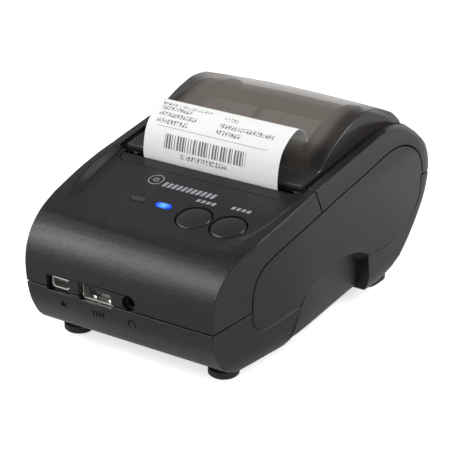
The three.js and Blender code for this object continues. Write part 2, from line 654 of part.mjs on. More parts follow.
const pinBores = (radius) => union(mirrored((side) => {
  const reach = KNUCKLE_WIDTH / 2 + KNUCKLE_GAP + LID_KNUCKLE_WIDTH + OVER;
  return cylinderX(HINGE_Y, HINGE_Z, radius, side * KNUCKLE_X - reach, side * KNUCKLE_X + reach, 16);
}));

function lowerCase() {
  const shell = SHELL.intersect(LOWER_REGION);
  const bosses = BOSS_PLACES.map(([side, y]) => cylinderZ(side * BOSS_X, y, BOSS_RADIUS, 0, BOSS_TOP_Z));
  const posts = mirrored((side) => cylinderZ(side * MECHANISM_POST_X, MECHANISM_POST_Y,
    MECHANISM_POST_RADIUS, 0, FRAME_Z - FIT));
  const boardPosts = mirrored((side) => union(
    [BOARD_FRONT_Y + BOARD_POST_INSET * 2, BOARD_REAR_Y - BOARD_POST_INSET].map((y) => cylinderZ(
      side * (BOARD_HALF - BOARD_POST_INSET), y, BOARD_POST_RADIUS, 0, BOARD_Z - FIT, 12))));
  const added = union([...bosses, ...posts, ...boardPosts]).intersect(OUTER);
  const shanks = BOSS_PLACES.map(([side, y]) => cylinderZ(side * BOSS_X, y,
    SCREW_SHANK_RADIUS + FIT, 0, BOSS_TOP_Z + OVER, 16));
  const sinks = BOSS_PLACES.map(([side, y]) => cylinderZ(side * BOSS_X, y, SCREW_HEAD_RADIUS + FIT, 0,
    SCREW_HEAD_Z + SCREW_HEAD_HEIGHT + FIT, 16));
  const threads = mirrored((side) => cylinderZ(side * MECHANISM_POST_X, MECHANISM_POST_Y,
    SCREW_SHANK_RADIUS + TIGHT, FRAME_Z - SCREW_GRIP - OVER, FRAME_Z, 16));
  return union([shell, added, caseLugs()])
    .subtract(union([...shanks, ...sinks, ...threads, PORT_CUT, batteryOpening(), keyholes(),
      sideGrooves(), pinBores(HINGE_PIN_RADIUS + FIT)]));
}

// Sunken control panel: a flat floor and walls that flare out to the top surface.
// Each row is a place across and up the slope, and how far the wall runs out from it, as shares
// of the half width and of the length.
const RECESS_DEPTH = 2;
const RECESS_TOP = 2.8;
const RECESS_SHARES = [
  [0.0000, 0.0385, 0.1681], [0.2198, 0.0385, 0.1681], [0.3956, 0.0406, 0.1541],
  [0.5714, 0.0532, 0.0980], [0.7143, 0.0840, 0.0420], [0.8044, 0.1366, 0.0210],
  [0.8396, 0.1961, 0.0168], [0.8505, 0.2521, 0.0168], [0.8549, 0.4202, 0.0168],
];
const STRIP_LENGTH = 5.6;
const STRIP_V = SLOT_V - STRIP_LENGTH;
const STRIP_HALF = acrossBy(0.813187);
const STRIP_CORNER = 4;
const BEZEL_THICKNESS = 1.1;
const TEAR_BAR_THICKNESS = 0.6;
const STRIP_ROOM = 0.4;
const LEDGE_THICKNESS = 1.7;
const STRIP_DEPTH = BEZEL_THICKNESS + TEAR_BAR_THICKNESS + STRIP_ROOM;
const LEDGE_DEPTH = STRIP_DEPTH + LEDGE_THICKNESS;
const KEY_BOARD_W = -8;
const KEY_POSTS = [[acrossBy(-0.384615), alongBy(0.091036)], [acrossBy(0.096703), alongBy(0.077031)]];
const KEY_POST_RADIUS = 1.8;

function stripOutline(grow, rearV) {
  const half = STRIP_HALF + grow;
  const front = STRIP_V - grow;
  const corner = circle(half - STRIP_CORNER, front + STRIP_CORNER, STRIP_CORNER, 24, -Math.PI / 2)
    .slice(0, 7);
  const mirror = corner.map(([x, v]) => [-x, v]).reverse();
  return [...corner, [half, rearV], [-half, rearV], ...mirror];
}

function recessCut() {
  const half = smooth(RECESS_SHARES.map(([x, v]) => [acrossBy(x), alongBy(v)]), 3);
  const outline = [...half.slice(1).map(([x, v]) => [-x, v]).reverse(), ...half];
  const runs = smooth(RECESS_SHARES.map(([, , run], i) => [i, alongBy(run)]), 3).map(([, run]) => run);
  const allRuns = [...runs.slice(1).reverse(), ...runs];
  const outward = outline.map((point, i) => {
    const before = outline[Math.max(0, i - 1)];
    const after = outline[Math.min(outline.length - 1, i + 1)];
    const du = after[0] - before[0];
    const dv = after[1] - before[1];
    const size = Math.hypot(du, dv);
    const run = (allRuns[i] * RECESS_TOP) / RECESS_DEPTH;
    return [point[0] + (run * dv) / size, point[1] - (run * du) / size];
  });
  const rings = [[outline, 0], [outward, RECESS_TOP]].map(([points, w]) => points.map(([x, v]) => {
    const p = new THREE.Vector3(x, v, w).applyMatrix4(PANEL);
    return [p.x, p.y, p.z];
  }));
  return loft(rings);
}

function upperCase() {
  const underPanel = box(-SPAN, SPAN, -LENGTH, LENGTH, -LENGTH, -WALL, PANEL);
  const ledge = box(-STRIP_HALF - WALL, STRIP_HALF + WALL, STRIP_V - WALL, SLOT_V,
    -LEDGE_DEPTH, -WALL / 2, PANEL);
  const capRoom = union(BUTTON_CENTRES_X.map((x) => prismZ(
    circle(x, BUTTON_V, CAP_FLANGE_RADIUS + FIT), KEY_BOARD_W, 0, PANEL)));
  const bosses = BOSS_PLACES.slice(0, 2).map(([side, y]) => cylinderZ(side * BOSS_X, y, BOSS_RADIUS,
    BOSS_TOP_Z + FIT, topAt(y)).intersect(underPanel.translate(0, 0, WALL / 2)).subtract(capRoom));
  const keyPosts = KEY_POSTS.map(([x, v]) => prismZ(circle(x, v, KEY_POST_RADIUS, 12),
    KEY_BOARD_W + FIT, -WALL / 2, PANEL));
  const walls = OUTER.intersect(UPPER_REGION).subtract(CAVITY.intersect(underPanel));
  const inside = union([ledge, ...bosses, ...keyPosts]).intersect(caseForm(WALL / 2));
  const buttonHoles = BUTTON_CENTRES_X.map((x) => prismZ(
    circle(x, BUTTON_V, BUTTON_RADIUS + BUTTON_GAP, 36), -WALL - OVER, OVER, PANEL));
  const ledHoles = LED_CENTRES_X.map((x) => prismZ(
    capsule(x, LED_V, LED_LENGTH + 2 * TIGHT, LED_WIDTH + 2 * TIGHT), -WALL - OVER, OVER, PANEL));
  const strip = prismZ(stripOutline(0, SLOT_V + OVER), -STRIP_DEPTH, OVER * 2, PANEL);
  const slot = box(-STRIP_HALF, STRIP_HALF, SLOT_V - TIGHT * 2, SLOT_V + OVER * 3, -LEDGE_DEPTH - OVER,
    OVER * 2, PANEL);
  const threads = BOSS_PLACES.slice(0, 2).map(([side, y]) => cylinderZ(side * BOSS_X, y,
    SCREW_SHANK_RADIUS + TIGHT, 0, BOSS_TOP_Z + SCREW_GRIP + OVER, 16));
  return union([walls.subtract(recessCut()), inside])
    .subtract(union([...buttonHoles, ...ledHoles, strip, slot, ...threads, PORT_CUT]));
}

function tearBarBezel() {
  return prismZ(stripOutline(-TIGHT, SLOT_V - FIT), -BEZEL_THICKNESS - TIGHT / 2, -TIGHT / 2, PANEL);
}

const TEETH_PITCH = 1.5;
const TOOTH_DEPTH = 0.9;
function tearBar() {
  const half = PAPER_WIDTH / 2 + TEETH_PITCH;
  const teeth = Math.floor((2 * half) / TEETH_PITCH);
  const edge = [];
  for (let i = 0; i < teeth; i += 1) {
    const x = half - i * TEETH_PITCH;
    edge.push([x, SLOT_V - TOOTH_DEPTH], [x - TEETH_PITCH / 2, SLOT_V - TIGHT]);
  }
  edge.push([half - teeth * TEETH_PITCH, SLOT_V - TOOTH_DEPTH]);
  const outline = [[-half, STRIP_V + FIT * 2], [half, STRIP_V + FIT * 2], ...edge];
  const top = -BEZEL_THICKNESS - TIGHT * 2;
  return prismZ(outline, top - TEAR_BAR_THICKNESS, top, PANEL);
}

// Lid frame: rear cover, two side arms with a channel along the window, and the platen carrier
const WINDOW_REAR_Y = alongBy(0.889356);
const CHANNEL_DEPTH = 3;
const SHELF = 1.5;
const WINDOW_FLANGE = 1.6;
const CROSS_BAR_SETBACK = 0.4;
const CROSS_BAR_FRONT_Y = LID_FRONT_BOTTOM_Y + CROSS_BAR_SETBACK;
const CROSS_BAR_REACH = 6;
const CROSS_BAR_REAR_Y = PLATEN_Y + CROSS_BAR_REACH;
const SHELF_FRONT_Y = CROSS_BAR_REAR_Y + 2 * SEAM;
const CROSS_BAR_GAP = 0.9;
const CROSS_BAR_Z = PLATEN_Z + PLATEN_RADIUS + CROSS_BAR_GAP;
const CARRIER_X = acrossBy(0.738462);
const CARRIER_WIDTH = acrossBy(0.043956);
const CARRIER_RADIUS = 5;
const ARM_X = DOME_HALF_WIDTH + DOME_CHANNEL;

function lidFrame() {
  const shell = SHELL.intersect(LID_REGION);
  const window = box(-ARM_X, ARM_X, SLOT_Y - OVER, WINDOW_REAR_Y, LID_FRONT_BOTTOM_Z, HIGH);
  const frontY = CROSS_BAR_FRONT_Y;
  const arms = mirrored((side) => {
    const inner = side * (DOME_HALF_WIDTH - DOME_WALL - FIT);
    const wall = side * ARM_X;
    const outer = side * (ARM_X + SHELF);
    const low = Math.min(inner, outer);
    const high = Math.max(inner, outer);
    const shelf = topBand(SHELF_FRONT_Y, WINDOW_REAR_Y + OVER, CHANNEL_DEPTH,
      CHANNEL_DEPTH + SHELF, low, high);
    const rearWall = topBand(SHELF_FRONT_Y - OVER, WINDOW_REAR_Y + OVER, WALL / 4,
      CHANNEL_DEPTH + SHELF, Math.min(wall, outer), Math.max(wall, outer));
    const frontWall = topBand(frontY, SHELF_FRONT_Y, WALL / 4, CHANNEL_DEPTH + SHELF / 3,
      Math.min(wall, outer), Math.max(wall, outer));
    return union([shelf, rearWall, frontWall]);
  });
  const rearShelf = topBand(WINDOW_REAR_Y - OVER * 2, WINDOW_REAR_Y + OVER, CHANNEL_DEPTH,
    CHANNEL_DEPTH + SHELF, -ARM_X - SHELF, ARM_X + SHELF);
  const rearRib = topBand(WINDOW_REAR_Y + TIGHT, WINDOW_REAR_Y + OVER, WALL / 2,
    CHANNEL_DEPTH + SHELF, -ARM_X - SHELF, ARM_X + SHELF);
  const barTop = WINDOW_FLANGE + FIT;
  const bar = prismX([
    [frontY, CROSS_BAR_Z], [CROSS_BAR_REAR_Y, CROSS_BAR_Z],
    [CROSS_BAR_REAR_Y, topAt(CROSS_BAR_REAR_Y) - barTop], [frontY, topAt(frontY) - barTop],
  ], -ARM_X - SHELF / 2, ARM_X + SHELF / 2);
  const carriers = mirrored((side) => {
    const x0 = side > 0 ? CARRIER_X : -CARRIER_X - CARRIER_WIDTH;
    const arm = cylinderX(PLATEN_Y, PLATEN_Z, CARRIER_RADIUS, x0, x0 + CARRIER_WIDTH);
    const stem = box(x0, x0 + CARRIER_WIDTH, PLATEN_Y - CARRIER_RADIUS + FIT, PLATEN_Y + CARRIER_RADIUS,
      PLATEN_Z, CROSS_BAR_Z + FIT);
    return arm.add(stem);
  });
  const bores = cylinderX(PLATEN_Y, PLATEN_Z, BUSHING_RADIUS + FIT, -CARRIER_X - CARRIER_WIDTH - OVER,
    CARRIER_X + CARRIER_WIDTH + OVER)
    .subtract(box(-FRAME_SIDE_X, FRAME_SIDE_X, 0, LENGTH, 0, LENGTH));
  const rails = union([...arms, rearShelf, rearRib, bar]).intersect(caseForm(WALL / 4));
  return union([shell.subtract(window), rails, ...carriers])
    .subtract(union([lugNotches(), bores]))
    .add(lidKnuckles())
    .subtract(pinBores(HINGE_PIN_RADIUS + FIT));
}

// Smoke window: a crowned dome with a flat flange in front and vertical end faces
const DOME_FRONT_RUN = 5.45;
const DOME_FRONT = [PLATEN_Y - DOME_FRONT_RUN, upBy(0.896)];
const DOME_SHARES = [
  [0.4692, 0.9168], [0.4951, 0.9376], [0.5273, 0.9984], [0.5602, 1.0394],
  [0.5931, 1.0722], [0.6268, 1.1002], [0.6541, 1.1149], [0.6926, 1.133], [0.7542, 1.1199],
  [0.827, 1.0493], [0.8564, 1.0082], [0.887, 0.9458],
];
const DOME_CURVE = smooth([DOME_FRONT, ...fromShares(DOME_SHARES)], 2);
const DOME_TOP_Z = Math.max(...DOME_CURVE.map(([, z]) => z));

function domeForm(points, halfWidth) {
  const steps = 8;
  const rings = Array.from({ length: steps + 1 }, (_, i) => {
    const across = (2 * i) / steps - 1;
    return points.map(([y, z]) => {
      const lift = Math.max(0, (z - topAt(y)) / (DOME_TOP_Z - topAt(y)));
      return [across * halfWidth, y, z + DOME_CROWN * (1 - across * across) * lift];
    });
  });
  return loft(rings);
}

function smokeWindow() {
  const [rearY] = DOME_CURVE[DOME_CURVE.length - 1];
  const bottomDepth = CHANNEL_DEPTH - 2 * FIT;
  const bottom = stations(SHELF_FRONT_Y, rearY).reverse().map((y) => [y, topAt(y) - bottomDepth]);
  const flange = [[CROSS_BAR_REAR_Y, topAt(CROSS_BAR_REAR_Y) - WINDOW_FLANGE],
    [DOME_CURVE[0][0], topAt(DOME_CURVE[0][0]) - WINDOW_FLANGE]];
  const outer = domeForm([...DOME_CURVE, ...bottom, ...flange].reverse(), DOME_HALF_WIDTH);
  const inside = offset(DOME_CURVE, -DOME_WALL, false).filter(([y, z]) => (
    y > CROSS_BAR_REAR_Y + DOME_WALL && y < rearY - DOME_WALL / 2 && z > topAt(y) - bottomDepth));
  const [firstY] = inside[0];
  const [lastY] = inside[inside.length - 1];
  const inner = domeForm([...inside, [lastY, FRAME_Z], [firstY, FRAME_Z]].reverse(),
    DOME_HALF_WIDTH - DOME_WALL);
  return outer.subtract(inner);
}

// Paper bay: a trough with end walls, a flange round its mouth and two screw legs
const FLANGE_FRONT_Y = alongBy(0.532213);
const FLANGE_REAR_Y = alongBy(0.896359);
const FLANGE_THICKNESS = 2;
const ROLL_ROOM = 7;
const ROLL_HEADROOM = 2.9;
const ROLL_RADIUS = Math.min(BAY_RADIUS - ROLL_ROOM,
  (DOME_TOP_Z - DOME_WALL - BAY_FLOOR_Z - FIT) / 2 - ROLL_HEADROOM);
const ROLL_Z = BAY_FLOOR_Z + FIT + ROLL_RADIUS;
const WEB_RADIUS_PLATEN = PLATEN_RADIUS + FIT + PAPER_THICKNESS / 2;
const WEB_RADIUS_ROLL = ROLL_RADIUS + FIT + PAPER_THICKNESS / 2;

// The web runs below both the platen and the roll, along their common outer tangent
function webLine(shift) {
  const dy = ROLL_Y - PLATEN_Y;
  const dz = ROLL_Z - PLATEN_Z;
  const growth = WEB_RADIUS_ROLL - WEB_RADIUS_PLATEN;
  const slope = Math.atan2(dz, dy) - Math.asin(growth / Math.hypot(dy, dz));
  const down = [Math.sin(slope), -Math.cos(slope)];
  const touch = (y, z, radius) => [y + down[0] * (radius + shift), z + down[1] * (radius + shift)];
  return {
    slope,
    platen: touch(PLATEN_Y, PLATEN_Z, WEB_RADIUS_PLATEN),
    roll: touch(ROLL_Y, ROLL_Z, WEB_RADIUS_ROLL),
  };
}

function paperBay() {
  const wallX = BAY_HALF + BAY_WALL;
  const below = box(-HALF_WIDTH, HALF_WIDTH, 0, LENGTH, 0, BAY_RIM_Z);
  const trough = cylinderX(ROLL_Y, BAY_CENTRE_Z, BAY_RADIUS + BAY_WALL, -wallX, wallX, 48).intersect(below);
  const hollow = cylinderX(ROLL_Y, BAY_CENTRE_Z, BAY_RADIUS, -BAY_HALF, BAY_HALF, 48);
  const rim = caseForm(WALL + FIT).intersect(
    box(-HALF_WIDTH, HALF_WIDTH, FLANGE_FRONT_Y, FLANGE_REAR_Y, BAY_RIM_Z - FLANGE_THICKNESS, BAY_RIM_Z));
  const mouth = box(-BAY_HALF, BAY_HALF, 0, ROLL_Y, BAY_RIM_Z - FLANGE_THICKNESS * 2, HIGH);
  const legs = BOSS_PLACES.slice(2).map(([side, y]) => cylinderZ(side * BOSS_X, y, BOSS_RADIUS,
    BOSS_TOP_Z + FIT, BAY_RIM_Z - FLANGE_THICKNESS / 2, 16));
  const threads = BOSS_PLACES.slice(2).map(([side, y]) => cylinderZ(side * BOSS_X, y,
    SCREW_SHANK_RADIUS + TIGHT, 0, BOSS_TOP_Z + SCREW_GRIP + OVER, 12));
  const web = webLine(PAPER_THICKNESS + FIT);
  const webGap = prismX([web.roll, [web.roll[0], HIGH], [web.platen[0], HIGH], web.platen],
    -BAY_HALF, BAY_HALF);
  return union([trough, rim, ...legs]).subtract(union([hollow, mouth, webGap, ...threads]));
}

function paperWeb() {
  const line = webLine(0);
  const startAngle = line.slope - Math.PI / 2;
  const wrapAngle = 0.7;
  const steps = 6;
  const centre = [line.roll];
  for (let i = 0; i <= steps; i += 1) {
    const angle = startAngle - (wrapAngle * i) / steps;
    centre.push([
      PLATEN_Y + WEB_RADIUS_PLATEN * Math.cos(angle),
      PLATEN_Z + WEB_RADIUS_PLATEN * Math.sin(angle),
    ]);
  }
  return paperBand(centre);
}

function paperBand(centre) {
  const one = offset(centre, PAPER_THICKNESS / 2, false);
  const other = offset(centre, -PAPER_THICKNESS / 2, false).reverse();
  return prismX([...one, ...other], -PAPER_WIDTH / 2, PAPER_WIDTH / 2);
}

// Receipt: up between platen and head, out of the slot and curled back over the window.
// Rows are [along, up] from the slot, as shares of the curl's reach and height.
const CURL_REACH = alongBy(0.137255);
const CURL_HEIGHT_SHARE = 0.280788;
const CURL_HEIGHT = CURL_HEIGHT_SHARE * CASE_HEIGHT;
const CURL_SHARES = [
  [0, 0], [0.01, 0.24], [0.07, 0.51], [0.18, 0.71], [0.36, 0.87], [0.56, 0.97], [0.71, 0.985],
  [0.85, 0.9], [0.95, 0.77], [1, 0.61],
];
const RECEIPT_Y = SLOT_Y + 2 * FIT;
const RECEIPT_RISE = 8;
const RECEIPT_Z = PLATEN_Z + RECEIPT_RISE;

function receipt() {
  const startY = PLATEN_Y - WEB_RADIUS_PLATEN;
  const inside = [
    [startY, PLATEN_Z], [startY, PLATEN_Z + PLATEN_RADIUS / 2],
    [RECEIPT_Y + FIT * 2, PLATEN_Z + PLATEN_RADIUS],
  ];
  const curl = CURL_SHARES.map(([along, up]) => (
    [RECEIPT_Y + along * CURL_REACH, RECEIPT_Z + up * CURL_HEIGHT]));
  return paperBand(smooth([...inside, ...curl], 3));
}

// Print mechanism
const HEAD_THICKNESS = 2.4;
const HEAD_REAR_Y = PLATEN_Y - PLATEN_RADIUS - 2 * FIT - PAPER_THICKNESS;
const HEAD_FRONT_Y = HEAD_REAR_Y - HEAD_THICKNESS;
const HEAD_DROP = 7;
const HEAD_LOW_Z = PLATEN_Z - HEAD_DROP;
const HEAD_ROOM = 0.6316;
const HEAD_TOP_Z = SLOT_Z - LEDGE_DEPTH - HEAD_ROOM;
const HEAD_PIVOT_RISE = 1.2;
const HEAD_PIVOT_Z = HEAD_LOW_Z + HEAD_PIVOT_RISE;
const HEAD_PIN_RADIUS = 1;
const HEAD_HALF = FRAME_SIDE_X - FIT;
const SPRING_WALL_GAP = 6;
const SPRING_WALL_Y = HEAD_FRONT_Y - SPRING_WALL_GAP;
const SPRING_WALL_DROP = 1.6;
const SPRING_WALL_TOP_Z = HEAD_TOP_Z - SPRING_WALL_DROP;
const SPRING_X = acrossBy(0.395604);
const SPRING_DROP = 1;
const SPRING_Z = PLATEN_Z - SPRING_DROP;
const SPRING_RADIUS = 1.8;
const SPRING_WIRE = 0.5;
const SPRING_TURNS = 4;
const MOTOR_RADIUS = 7;
const BATTERY_ROOM = 1.3;
const BATTERY_MOTOR_GAP = 3.0624;
const BATTERY_TOP_Z = Math.min(
  BAY_FLOOR_Z - BAY_WALL - BATTERY_ROOM, MOTOR_Z - MOTOR_RADIUS - BATTERY_MOTOR_GAP);
const MOTOR_LENGTH = acrossBy(0.351648);
const MOTOR_SHAFT_RADIUS = 1;
const IDLER_PIN_RADIUS = 1.5;
const SMALL_GEAR_X = acrossBy(0.791209);
const BIG_GEAR_X = SMALL_GEAR_X + GEAR_FACE + SEAM;

// How far a tooth stands proud of the pitch circle, and how wide it is at its root and its tip
const ADDENDUM_SHARE = 0.7;
const TOOTH_WIDTH_SHARES = [1.5, 0.45];

function gearOutline(y, z, teeth, phase) {
  const pitch = (teeth * GEAR_MODULE) / 2;
  const half = (Math.PI * GEAR_MODULE / 2 - GEAR_BACKLASH) / 2 / pitch;
  const levels = [
    [pitch - GEAR_MODULE, TOOTH_WIDTH_SHARES[0]],
    [pitch + GEAR_MODULE * ADDENDUM_SHARE, TOOTH_WIDTH_SHARES[1]],
  ];
  const points = [];
  for (let i = 0; i < teeth; i += 1) {
    const middle = phase + (2 * Math.PI * i) / teeth;
    const [root, tip] = levels;
    for (const [[radius, width], sign] of [[root, -1], [tip, -1], [tip, 1], [root, 1]]) {
      const angle = middle + sign * half * width;
      points.push([y + radius * Math.cos(angle), z + radius * Math.sin(angle)]);
    }
  }
  return points;
}

const TOWARDS_PLATEN = Math.PI / 2 - IDLER_LEAN;

function sideOutline(withMotor) {
  const foot = withMotor
    ? [[MOTOR_Y - MOTOR_RADIUS, FRAME_Z], [MOTOR_Y - MOTOR_RADIUS, MOTOR_Z - MOTOR_RADIUS],
      [MOTOR_Y + MOTOR_RADIUS, MOTOR_Z - MOTOR_RADIUS], [IDLER_Y + BUSHING_RADIUS, IDLER_Z - CARRIER_RADIUS]]
    : [[MOTOR_Y - MOTOR_RADIUS, FRAME_Z], [IDLER_Y, FRAME_Z]];
  return [
    ...foot, [PLATEN_Y + CARRIER_RADIUS, PLATEN_Z - CARRIER_RADIUS], [PLATEN_Y + CARRIER_RADIUS, PLATEN_Z],
    [PLATEN_Y - BUSHING_RADIUS - FIT, SPRING_WALL_TOP_Z], [SPRING_WALL_Y, SPRING_WALL_TOP_Z],
  ];
}

function mechanismFrame() {
  const edgeX = FRAME_SIDE_X + FRAME_SIDE;
  const top = FRAME_Z + FRAME_PLATE;
  const base = box(-edgeX, edgeX, MECHANISM_POST_Y + OVER, HEAD_REAR_Y + OVER, FRAME_Z, top);
  const springWall = box(-edgeX, edgeX, SPRING_WALL_Y, SPRING_WALL_Y + FRAME_PLATE, FRAME_Z,
    SPRING_WALL_TOP_Z);
  const ears = mirrored((side) => {
    const near = side * FRAME_SIDE_X;
    const earEnd = side * (MECHANISM_POST_X + MECHANISM_POST_RADIUS);
    const bridgeEnd = side * edgeX;
    const ear = box(Math.min(near, earEnd), Math.max(near, earEnd),
      MECHANISM_POST_Y - MECHANISM_POST_RADIUS, MECHANISM_POST_Y + MECHANISM_POST_RADIUS, FRAME_Z, top);
    const bridge = box(Math.min(near, bridgeEnd), Math.max(near, bridgeEnd),
      MECHANISM_POST_Y, SPRING_WALL_Y + OVER, FRAME_Z, top);
    return ear.add(bridge).subtract(cylinderZ(side * MECHANISM_POST_X, MECHANISM_POST_Y,
      SCREW_SHANK_RADIUS + FIT, FRAME_Z - OVER, top + OVER, 16));
  });
  const left = prismX(sideOutline(false), -edgeX, -FRAME_SIDE_X);
  const right = prismX(sideOutline(true), FRAME_SIDE_X, edgeX)
    .subtract(cylinderX(MOTOR_Y, MOTOR_Z, MOTOR_SHAFT_RADIUS * 2, FRAME_SIDE_X - OVER, edgeX + OVER, 16));
  const stub = cylinderX(IDLER_Y, IDLER_Z, IDLER_PIN_RADIUS, FRAME_SIDE_X + FRAME_SIDE / 2,
    BIG_GEAR_X + GEAR_FACE, 16);
  const notch = cylinderX(PLATEN_Y, PLATEN_Z, BUSHING_RADIUS + FIT, -SPAN, SPAN)
    .add(box(-SPAN, SPAN, PLATEN_Y - BUSHING_RADIUS - FIT, LENGTH, PLATEN_Z, HIGH));
  const pivotHoles = cylinderX((HEAD_FRONT_Y + HEAD_REAR_Y) / 2, HEAD_PIVOT_Z, HEAD_PIN_RADIUS + FIT,
    -SPAN, SPAN, 16);
  return union([base, springWall, ...ears, left, right, stub]).subtract(notch.add(pivotHoles));
}

function printHead() {
  const middle = (HEAD_FRONT_Y + HEAD_REAR_Y) / 2;
  const reach = HEAD_HALF + FRAME_SIDE;
  const plate = box(-HEAD_HALF, HEAD_HALF, HEAD_FRONT_Y, HEAD_REAR_Y, HEAD_LOW_Z, HEAD_TOP_Z);
  const pins = cylinderX(middle, HEAD_PIVOT_Z, HEAD_PIN_RADIUS, -reach, reach, 16);
  return plate.add(pins);
}

function headSpring(side) {
  const from = SPRING_WALL_Y + FRAME_PLATE + FIT + SPRING_WIRE / 2;
  const to = HEAD_FRONT_Y - FIT - SPRING_WIRE / 2;
  class Coil extends THREE.Curve {
    getPoint(t, target = new THREE.Vector3()) {
      const angle = 2 * Math.PI * SPRING_TURNS * t;
      return target.set(side * SPRING_X + SPRING_RADIUS * Math.cos(angle), from + (to - from) * t,
        SPRING_Z + SPRING_RADIUS * Math.sin(angle));
    }
  }
  const wire = circle(0, 0, SPRING_WIRE / 2, 5);
  const section = new THREE.Shape(wire.map(([u, v]) => new THREE.Vector2(u, v)));
  const geometry = new THREE.ExtrudeGeometry(section, {
    steps: SPRING_TURNS * 8, extrudePath: new Coil(), bevelEnabled: false,
  });
  return solid(geometry);
}

function motor() {
  const end = FRAME_SIDE_X - FIT;
  const body = cylinderX(MOTOR_Y, MOTOR_Z, MOTOR_RADIUS, end - MOTOR_LENGTH, end, 32);
  const bore = cylinderX(MOTOR_Y, MOTOR_Z, MOTOR_SHAFT_RADIUS + FIT, end - MOTOR_LENGTH / 4, end + OVER, 12);
  return body.subtract(bore);
}

function motorPinion() {
  const phase = MOTOR_ANGLE + Math.PI;
  const outline = gearOutline(MOTOR_Y, MOTOR_Z, PINION_TEETH, phase);
  const gear = prismX(outline, BIG_GEAR_X, BIG_GEAR_X + GEAR_FACE);
  return gear.add(cylinderX(MOTOR_Y, MOTOR_Z, MOTOR_SHAFT_RADIUS, FRAME_SIDE_X - MOTOR_LENGTH / 4 + FIT,
    BIG_GEAR_X + GEAR_FACE / 2, 12));
}

function reductionGear() {
  const bigPhase = MOTOR_ANGLE + Math.PI / BIG_TEETH;
  const bigOutline = gearOutline(IDLER_Y, IDLER_Z, BIG_TEETH, bigPhase);
  const smallOutline = gearOutline(IDLER_Y, IDLER_Z, SMALL_TEETH, TOWARDS_PLATEN);
  const big = prismX(bigOutline, BIG_GEAR_X, BIG_GEAR_X + GEAR_FACE);
  const small = prismX(smallOutline, SMALL_GEAR_X, BIG_GEAR_X + GEAR_FACE / 2);
  const bore = cylinderX(IDLER_Y, IDLER_Z, IDLER_PIN_RADIUS + FIT, SMALL_GEAR_X - OVER,
    BIG_GEAR_X + GEAR_FACE + OVER, 16);
  return big.add(small).subtract(bore);
}

function platenGear() {
  const phase = TOWARDS_PLATEN + Math.PI + Math.PI / PLATEN_TEETH;
  const outline = gearOutline(PLATEN_Y, PLATEN_Z, PLATEN_TEETH, phase);
  const bore = cylinderX(PLATEN_Y, PLATEN_Z, SHAFT_RADIUS + FIT, SMALL_GEAR_X - OVER,
    SMALL_GEAR_X + GEAR_FACE + OVER, 16);
  return prismX(outline, SMALL_GEAR_X, SMALL_GEAR_X + GEAR_FACE).subtract(bore);
}

function tube(y, z, outer, inner, x0, x1, steps = 32) {
  return cylinderX(y, z, outer, x0, x1, steps).subtract(cylinderX(y, z, inner, x0 - OVER, x1 + OVER, steps));
}

// Sockets and boards
const SOCKET_BASE_Z = BOARD_Z + BOARD_THICKNESS + TIGHT;

function socket(x, width, height, wall, tongue, depth) {
  const front = PORT_RECESS;
  const low = PORT_Z - height / 2;
  const body = box(x - width / 2, x + width / 2, front, front + depth, SOCKET_BASE_Z, PORT_Z + height / 2);
  const hollow = box(x - width / 2 + wall, x + width / 2 - wall, front - OVER, front + depth - wall * 2,
    low + wall, PORT_Z + height / 2 - wall);
  const blade = box(x - tongue.width / 2, x + tongue.width / 2, front + tongue.inset, front + depth - wall,
    PORT_Z + tongue.rise, PORT_Z + tongue.rise + tongue.thickness);
  return body.subtract(hollow).add(blade);
}

const MINI_USB_SOCKET = { width: 7.7, height: 3.9, wall: 0.4, depth: 9 };
const MINI_USB_TONGUE = { width: 4.4, inset: 1, rise: 0, thickness: 0.9 };
const USB_A_SOCKET = { width: 13.1, height: 5.7, wall: 0.4, depth: 14 };
const USB_A_TONGUE = { width: 11, inset: 1.4, rise: 0.3, thickness: 1.8 };
const JACK_WIDTH = 6.4;
const JACK_DEPTH = 12;
const JACK_BARREL_RADIUS = 2.35;
const JACK_BORE_RADIUS = 1.8;
const JACK_BARREL_FRONT_Y = 1.3;

function audioJack() {
  const half = JACK_WIDTH / 2;
  const body = box(JACK_X - half, JACK_X + half, PORT_RECESS, PORT_RECESS + JACK_DEPTH, SOCKET_BASE_Z,
    JACK_Z + half);
  const barrel = cylinderY(JACK_X, JACK_Z, JACK_BARREL_RADIUS, JACK_BARREL_FRONT_Y, PORT_RECESS + OVER);
  const bore = cylinderY(JACK_X, JACK_Z, JACK_BORE_RADIUS, 0, PORT_RECESS + JACK_DEPTH - OVER);
  return body.add(barrel).subtract(bore);
}

const KEY_BOARD_GAP = 0.8;
const KEY_BOARD = {
  left: acrossBy(-0.439560),
  right: BOSS_X - BOSS_RADIUS - KEY_BOARD_GAP,
  low: alongBy(0.066877),
  high: alongBy(0.168417),
};
const SWITCH_HALF = 3;
const SWITCH_TOP_W = -4.4;
const SWITCH_WELL_W = -6.6;
const SWITCH_WELL_RADIUS = 1.75;
const STEM_RADIUS = 1.4;
const STEM_TIP_W = -5.6;
const CAP_LOW_W = -3.4;
const CAP_FLANGE = 0.7;
const CAP_FLANGE_RADIUS = BUTTON_RADIUS + CAP_FLANGE;

function tactSwitch(x) {
  const body = box(x - SWITCH_HALF, x + SWITCH_HALF, BUTTON_V - SWITCH_HALF, BUTTON_V + SWITCH_HALF,
    KEY_BOARD_W + TIGHT, SWITCH_TOP_W, PANEL);
  return body.subtract(prismZ(circle(x, BUTTON_V, SWITCH_WELL_RADIUS, 16), SWITCH_WELL_W, OVER, PANEL));
}

